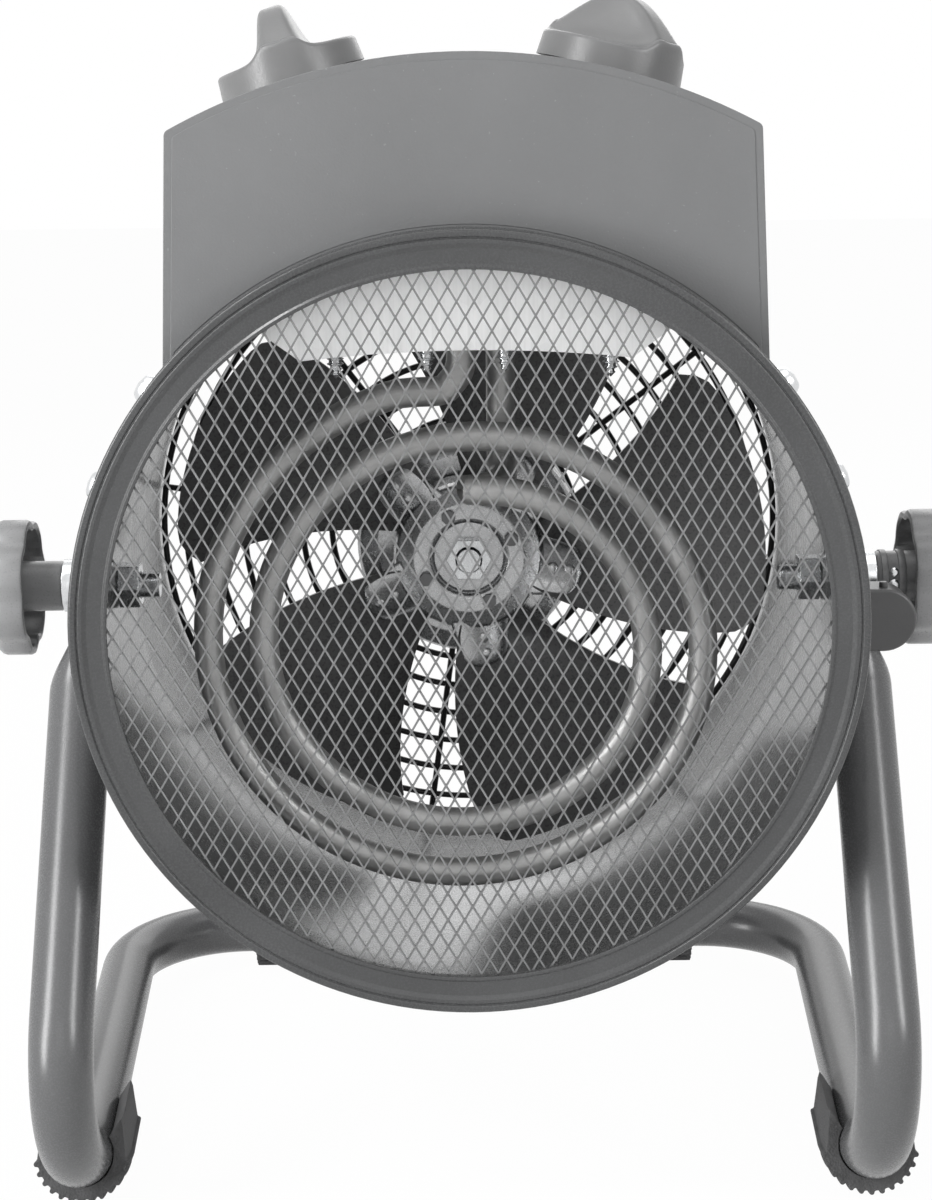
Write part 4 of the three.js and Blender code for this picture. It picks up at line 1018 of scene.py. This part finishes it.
# --- pivots and tilt knobs
def lobed(radius, dip):
    """One ring of a tilt knob; dip is how deep its valleys go."""
    ring = []
    for k in range(168):
        a = math.tau * k / 168
        ring.append(polar(radius - dip * (0.5 - 0.5 * math.cos(TILT_KNOB_LOBES * a)) ** 2, a))
    return ring


def tilt_knob(side, sign):
    """A lobed cup, open towards the drum, on a bored hub."""
    low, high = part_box("tilt_knob_" + side)
    inner, face = sorted(abs(v) / MM for v in (low.x, high.x))
    rim, radius, hub, bore = face - TILT_KNOB_CUP, TILT_KNOB_RADIUS, TILT_HUB_RADIUS, 4.4
    inside = radius - TILT_KNOB_WALL
    profile = [  # radius, x and the share of the valleys' depth
        (0, face - 0.3, 0), (9, face - 0.1, 0), (15, face, 0.1), (18.4, face - 0.15, 0.5),
        (20.2, face - 0.7, 0.8), (21.1, face - 1.6, 1), (radius, face - 2.8, 1),
        (radius, rim + 1, 1), (radius - 0.4, rim + 0.2, 1), (radius - 1, rim, 1),
        (inside + 0.6, rim, 1), (inside, rim + 0.6, 1), (inside - 0.3, face - 5, 1),
        (inside - 1.6, face - 3.6, 0.8), (11, face - 3.4, 0), (8.6, face - 3.8, 0),
        (hub + 0.1, face - 5, 0), (hub, inner + 0.6, 0), (hub - 0.5, inner, 0), (4.8, inner, 0),
        (bore, inner + 0.4, 0), (bore, face - 4, 0), (0, face - 4, 0)]
    rings = [[at(sign * x, PIVOT + u, v) for u, v in lobed(r, TILT_KNOB_DIP * share)]
             for r, x, share in profile]
    piece("lobed_knob_" + side, skin(rings, caps=False), side + "_clamp", "tilt_plastic",
          ["tilt_knob_" + side], crease=40)


def hub_screw_boss():
    """Two collars and two set screws on the right knob's hub."""
    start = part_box("tilt_knob_right")[0].x / MM
    collars = []
    for radius, near, far, soft in ((8.3, 1.2, 3.2, 0.25), (8.4, 6.4, 8.8, 0.3)):
        corners = [(7.7, near, soft), (radius, near, soft), (radius, far, soft), (7.7, far, soft)]
        collars.append(turned(softened(corners, 3, start), 64,
                              lambda u, v, x: at(x, PIVOT + u, v), closed=True))
    piece("hub_collars", merged(*collars), "right_clamp", "tilt_plastic", crease=40)
    screws = []
    for height, radius in ((2.6, 1.5), (-1.4, 1.9)):
        out = PIVOT - math.sqrt(TILT_HUB_RADIUS ** 2 - height ** 2)
        head = softened([(0, -0.9, 0), (radius * 0.6, -0.85, 0.2), (radius, -0.35, 0.3),
                         (radius, 1.2, 0.1), (0, 1.2, 0)], 4, out, closed=False)
        screws.append(turned_y(head, 24, start + 5.0, height, closed=False))
    piece("hub_set_screws", merged(*screws), "right_clamp", "zinc", crease=50)


def tilt_stop():
    """A rounded tongue on the right of the drum, with a peg on its top edge."""
    start, end = depths("tilt_stop")
    low, high = heights("tilt_stop")
    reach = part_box("tilt_stop")[1].x / MM
    r, middle = (high - low) / 2, (high + low) / 2
    saddle = SHELL_RADIUS + 0.35
    outline = [(math.sqrt(saddle ** 2 - z * z), z)
               for z in (high + (low - high) * k / 12 for k in range(13))]
    outline += [(reach - r + u, middle + v)
                for u, v in (polar(r, math.pi * (k / 20 - 0.5)) for k in range(21))]
    piece("stop_tongue", plate_y(outline, start, end), "drum", "dark_plastic", ["tilt_stop"],
          bevel=1.0, crease=30)
    peg = softened([(0, -1, 0), (1.3, -1, 0.1), (1.3, 1.6, 0.5), (0, 1.6, 0)], 4, closed=False)
    x = SHELL_RADIUS + 12.4
    peg = turned(peg, 20, lambda u, v, along: at(x + u, start + 4 + v, high + along))
    piece("stop_peg", peg, "drum", "dark_plastic", crease=50)


def pivots():
    """On each side a knob with the bolt, nut, spacer and washer it clamps; then the stop."""
    for side, sign in (("left", -1), ("right", 1)):
        tilt_knob(side, sign)
        for node in ("pivot_bolt_", "pivot_nut_", "pivot_spacer_", "pivot_washer_"):
            refined(node + side, "zinc", 0.3)
    hub_screw_boss()
    tilt_stop()


# --- screws, controls
def dome_screw(index, angle):
    """A domed screw through the drum's wall, behind the ring."""
    stem, head = 1.9, 5
    dome = softened([(0, -6, 0), (stem, -6, 0.2), (stem, 0, 0.2), (head, 0, 0.3),
                     (head, 1.2, 1.2), (3.4, 4.4, 2.2), (0, 5, 0)], 6, SHELL_RADIUS + SEAT, False)
    dome = turned(dome, 32, lambda u, v, x: Vector((x * MM, u * MM, v * MM)))
    turn = Matrix.Rotation(-math.radians(angle), 4, "Y")
    place = Matrix.Translation(at(0, SCREW_DEPTH, 0)) @ turn
    piece("dome_screw_%d" % index, moved(dome, place), "drum", "zinc", ["shell_screw_%d" % index],
          crease=50)


def shield_screw(node):
    """A self-tapping screw: a domed head over a thread that tapers to a point."""
    low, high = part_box(node)
    x, y = (low.x + high.x) / 2, (low.y + high.y) / 2
    top, tip = high.z / MM, low.z / MM
    head, core, crest, pitch = (high.x - low.x) / 2 / MM, 1.9, 2.5, 1.5
    profile = [(0, top), (head * 0.55, top - 0.2), (head * 0.92, top - 1.1), (head, top - 2.3),
               (core, top - 2.3)]
    turns = int((top - 2.6 - tip) / pitch)
    for k in range(turns):
        z = top - 2.6 - pitch * k
        slim = 1 - 0.45 * max(0, (k + 1 - 0.7 * turns) / (0.3 * turns))
        profile += [(radius * slim, z - drop) for radius, drop in (
            (core, 0), (core, 0.5), (crest, 0.8), (crest, 0.95), (core, 1.25))]
    profile.append((0, tip))
    shape = turned(profile, 24, lambda u, v, z: Vector((x + u * MM, y + v * MM, z * MM)))
    piece(node + "_thread", shape, "drum", "zinc", [node], crease=30)


def knob_height(x, y):
    """The grip's height over the skirt: a bell along it, hollow flanks across it."""
    bell = math.cos(min(abs(x) / KNOB_REACH, 1) * math.pi / 2) ** 1.1
    ridge = 1 / (1 + (abs(y) / (KNOB_RIDGE + 1.2 * (1 - bell))) ** 6)
    inward = 1 - min(math.hypot(x, y) / KNOB_RADIUS, 1) ** 6
    return KNOB_RISE * bell * ridge - KNOB_DISH * (1 - ridge) * inward


def control_knob(name, x, turn):
    """A round skirt with a raised grip across it, on the arched top of the box."""
    count, steps = 120, 39
    edge, inside = KNOB_SKIRT - 0.1, KNOB_RADIUS - 2.2
    skirt = softened([(KNOB_RADIUS, 0, 0), (KNOB_RADIUS - 0.7, edge, 1.6),
                      (KNOB_RADIUS - 4, edge, 0)], 6, closed=False)
    rings = [[(u, v, z * (1 + knob_height(u * inside / radius, v * inside / radius) / KNOB_SKIRT))
              for u, v in circle(radius, count)] for radius, z in skirt[:-1]]
    for k in range(steps + 1):
        radius = inside * (1 - k / steps) + 0.02
        rings.append([(u, v, edge + knob_height(u, v)) for u, v in circle(radius, count)])
    tilt = math.asin(x / BOX_ARCH)
    depth = (BOX_FRONT + BOX_BACK) / 2
    place = (Matrix.Translation(at(x, depth, BOX_CENTRE + BOX_ARCH * math.cos(tilt)))
             @ Matrix.Rotation(tilt, 4, "Y") @ Matrix.Rotation(math.radians(turn), 4, "Z"))
    points = [[Vector((u * MM, v * MM, (z + KNOB_LIFT) * MM)) for u, v, z in ring]
              for ring in rings]
    piece(name.replace("_knob", "_grip"), moved(skin(points), place), name.split("_")[0],
          "knob_plastic", [name], crease=55)


def small_parts():
    """The screws, the control knobs, the bushings and the heat shield."""
    for index, angle in enumerate(SCREW_ANGLES, 1):
        dome_screw(index, angle)
    for name, (x, turn) in KNOB_PLACES.items():
        control_knob(name, x, turn)
    for k in range(1, 5):
        shield_screw("shield_screw_%d" % k)
    for end in ("front", "rear"):
        refined("element_bushing_" + end, "zinc", 0.3)
    refined("heat_shield", "galvanised", 0.35, 25)


def hidden_parts():
    """Inner pieces keep their CAD shape and get their finish."""
    slots = {row["node"]: row["material_slot"] for row in frame["record"]["subparts"]}
    for name, node in frame["nodes"].items():
        if node.hide_render:
            continue
        node.data.materials.clear()
        node.data.materials.append(FINISHES[slots[name]])


# --- stage
LAMPS = {  # place and size in metres, power in watts
    "left_box": ((-1.05, -0.85, 0.5), (0.4, 1.0), 19),
    "right_strip": ((1.05, -0.9, 0.75), (0.3, 0.7), 9),
    "upper_left": ((-0.75, -0.55, 1.15), (0.22, 0.22), 5),
    "overhead": ((0, -0.1, 1.5), (1.2, 0.9), 4.5),
    "front": ((0.1, -1.9, 0.9), (0.9, 0.7), 1.5),
    "behind": ((0.2, 1.3, 0.9), (1.2, 0.8), 5),
}
LAMP_TARGET = Vector((0, 0, 0.17))
WORLD_LEVEL = 0.2
FLOOR_HALF = 6.0
FLOOR_BASE = 0.9
FLOOR_WHITE = 0.975  # how far the floor looks white rather than lit

CAMERA_PLACE = (0.0008, -0.7366, 0.3285)
CAMERA_LENS, CAMERA_SENSOR = 68.2, 36
CAMERA_YAW, CAMERA_PITCH, CAMERA_ROLL = (math.radians(turn) for turn in (0.15, 12.18, 0.73))


def seen_white(tree, plain, kind, level, result):
    """Mixes white over a plain shader for rays from the camera, off gloss and through glass."""
    path = add_node(tree, "ShaderNodeLightPath").outputs
    seen = path["Is Camera Ray"]
    for ray in ("Is Glossy Ray", "Is Transmission Ray"):
        seen = add_node(tree, "ShaderNodeMath", {0: seen, 1: path[ray]},
                        operation="MAXIMUM").outputs[0]
    share = add_node(tree, "ShaderNodeMath", {0: seen, 1: level}, operation="MULTIPLY").outputs[0]
    white = add_node(tree, kind, {"Color": (1, 1, 1, 1), "Strength": 1}).outputs[0]
    mix = add_node(tree, "ShaderNodeMixShader", {0: share, 1: plain, 2: white})
    tree.links.new(mix.outputs[0], result)


def pale_floor():
    """A floor that looks white to the camera and keeps some of the shadow."""
    material = bpy.data.materials.new("pale_floor")
    material.use_nodes = True
    tree = material.node_tree
    surface = tree.nodes["Principled BSDF"]
    surface.inputs["Base Color"].default_value = (FLOOR_BASE, FLOOR_BASE, FLOOR_BASE, 1)
    surface.inputs["Roughness"].default_value = 0.9
    seen_white(tree, surface.outputs[0], "ShaderNodeEmission", FLOOR_WHITE,
               tree.nodes["Material Output"].inputs["Surface"])
    return material


def studio():
    """A pale floor, a soft white world and six lamps."""
    scene = bpy.context.scene
    scene.view_settings.view_transform = "Standard"
    floor = bpy.data.meshes.new("floor")
    corners = [(x * FLOOR_HALF, y * FLOOR_HALF, 0) for x, y in ((-1, -1), (1, -1), (1, 1), (-1, 1))]
    floor.from_pydata(corners, [], [(0, 1, 2, 3)])
    floor.materials.append(pale_floor())
    ground = bpy.data.objects.new("floor", floor)
    scene.collection.objects.link(ground)

    world = bpy.data.worlds.new("studio")
    scene.world = world
    world.use_nodes = True
    tree = world.node_tree
    soft = tree.nodes["Background"]
    soft.inputs["Color"].default_value = (1, 1, 1, 1)
    soft.inputs["Strength"].default_value = WORLD_LEVEL
    seen_white(tree, soft.outputs[0], "ShaderNodeBackground", 1,
               tree.nodes["World Output"].inputs["Surface"])

    for name, (place, (width, height), power) in LAMPS.items():
        lamp = bpy.data.lights.new(name, "AREA")
        lamp.shape = "RECTANGLE"
        lamp.size, lamp.size_y, lamp.energy = width, height, power
        holder = bpy.data.objects.new(name, lamp)
        holder.location = place
        holder.rotation_euler = (LAMP_TARGET - Vector(place)).to_track_quat("-Z", "Y").to_euler()
        scene.collection.objects.link(holder)


def camera():
    """The photograph's view, pitched down and rolled a little."""
    lens = bpy.data.cameras.new("camera")
    lens.lens = CAMERA_LENS
    lens.sensor_width = CAMERA_SENSOR
    lens.sensor_fit = "AUTO"
    lens.clip_start = 0.01
    eye = bpy.data.objects.new("camera", lens)
    eye.matrix_world = (Matrix.Translation(CAMERA_PLACE)
                        @ Matrix.Rotation(CAMERA_YAW, 4, "Z")
                        @ Matrix.Rotation(math.pi / 2 - CAMERA_PITCH, 4, "X")
                        @ Matrix.Rotation(-CAMERA_ROLL, 4, "Z"))
    bpy.context.scene.collection.objects.link(eye)
    bpy.context.scene.camera = eye


for make in (camera, studio, stand_tube, feet, drum_wall, front_rim, expanded_metal, wire_guard,
             control_box, cable_gland, heating_tube, fan, motor, pivots, small_parts, hidden_parts):
    make()
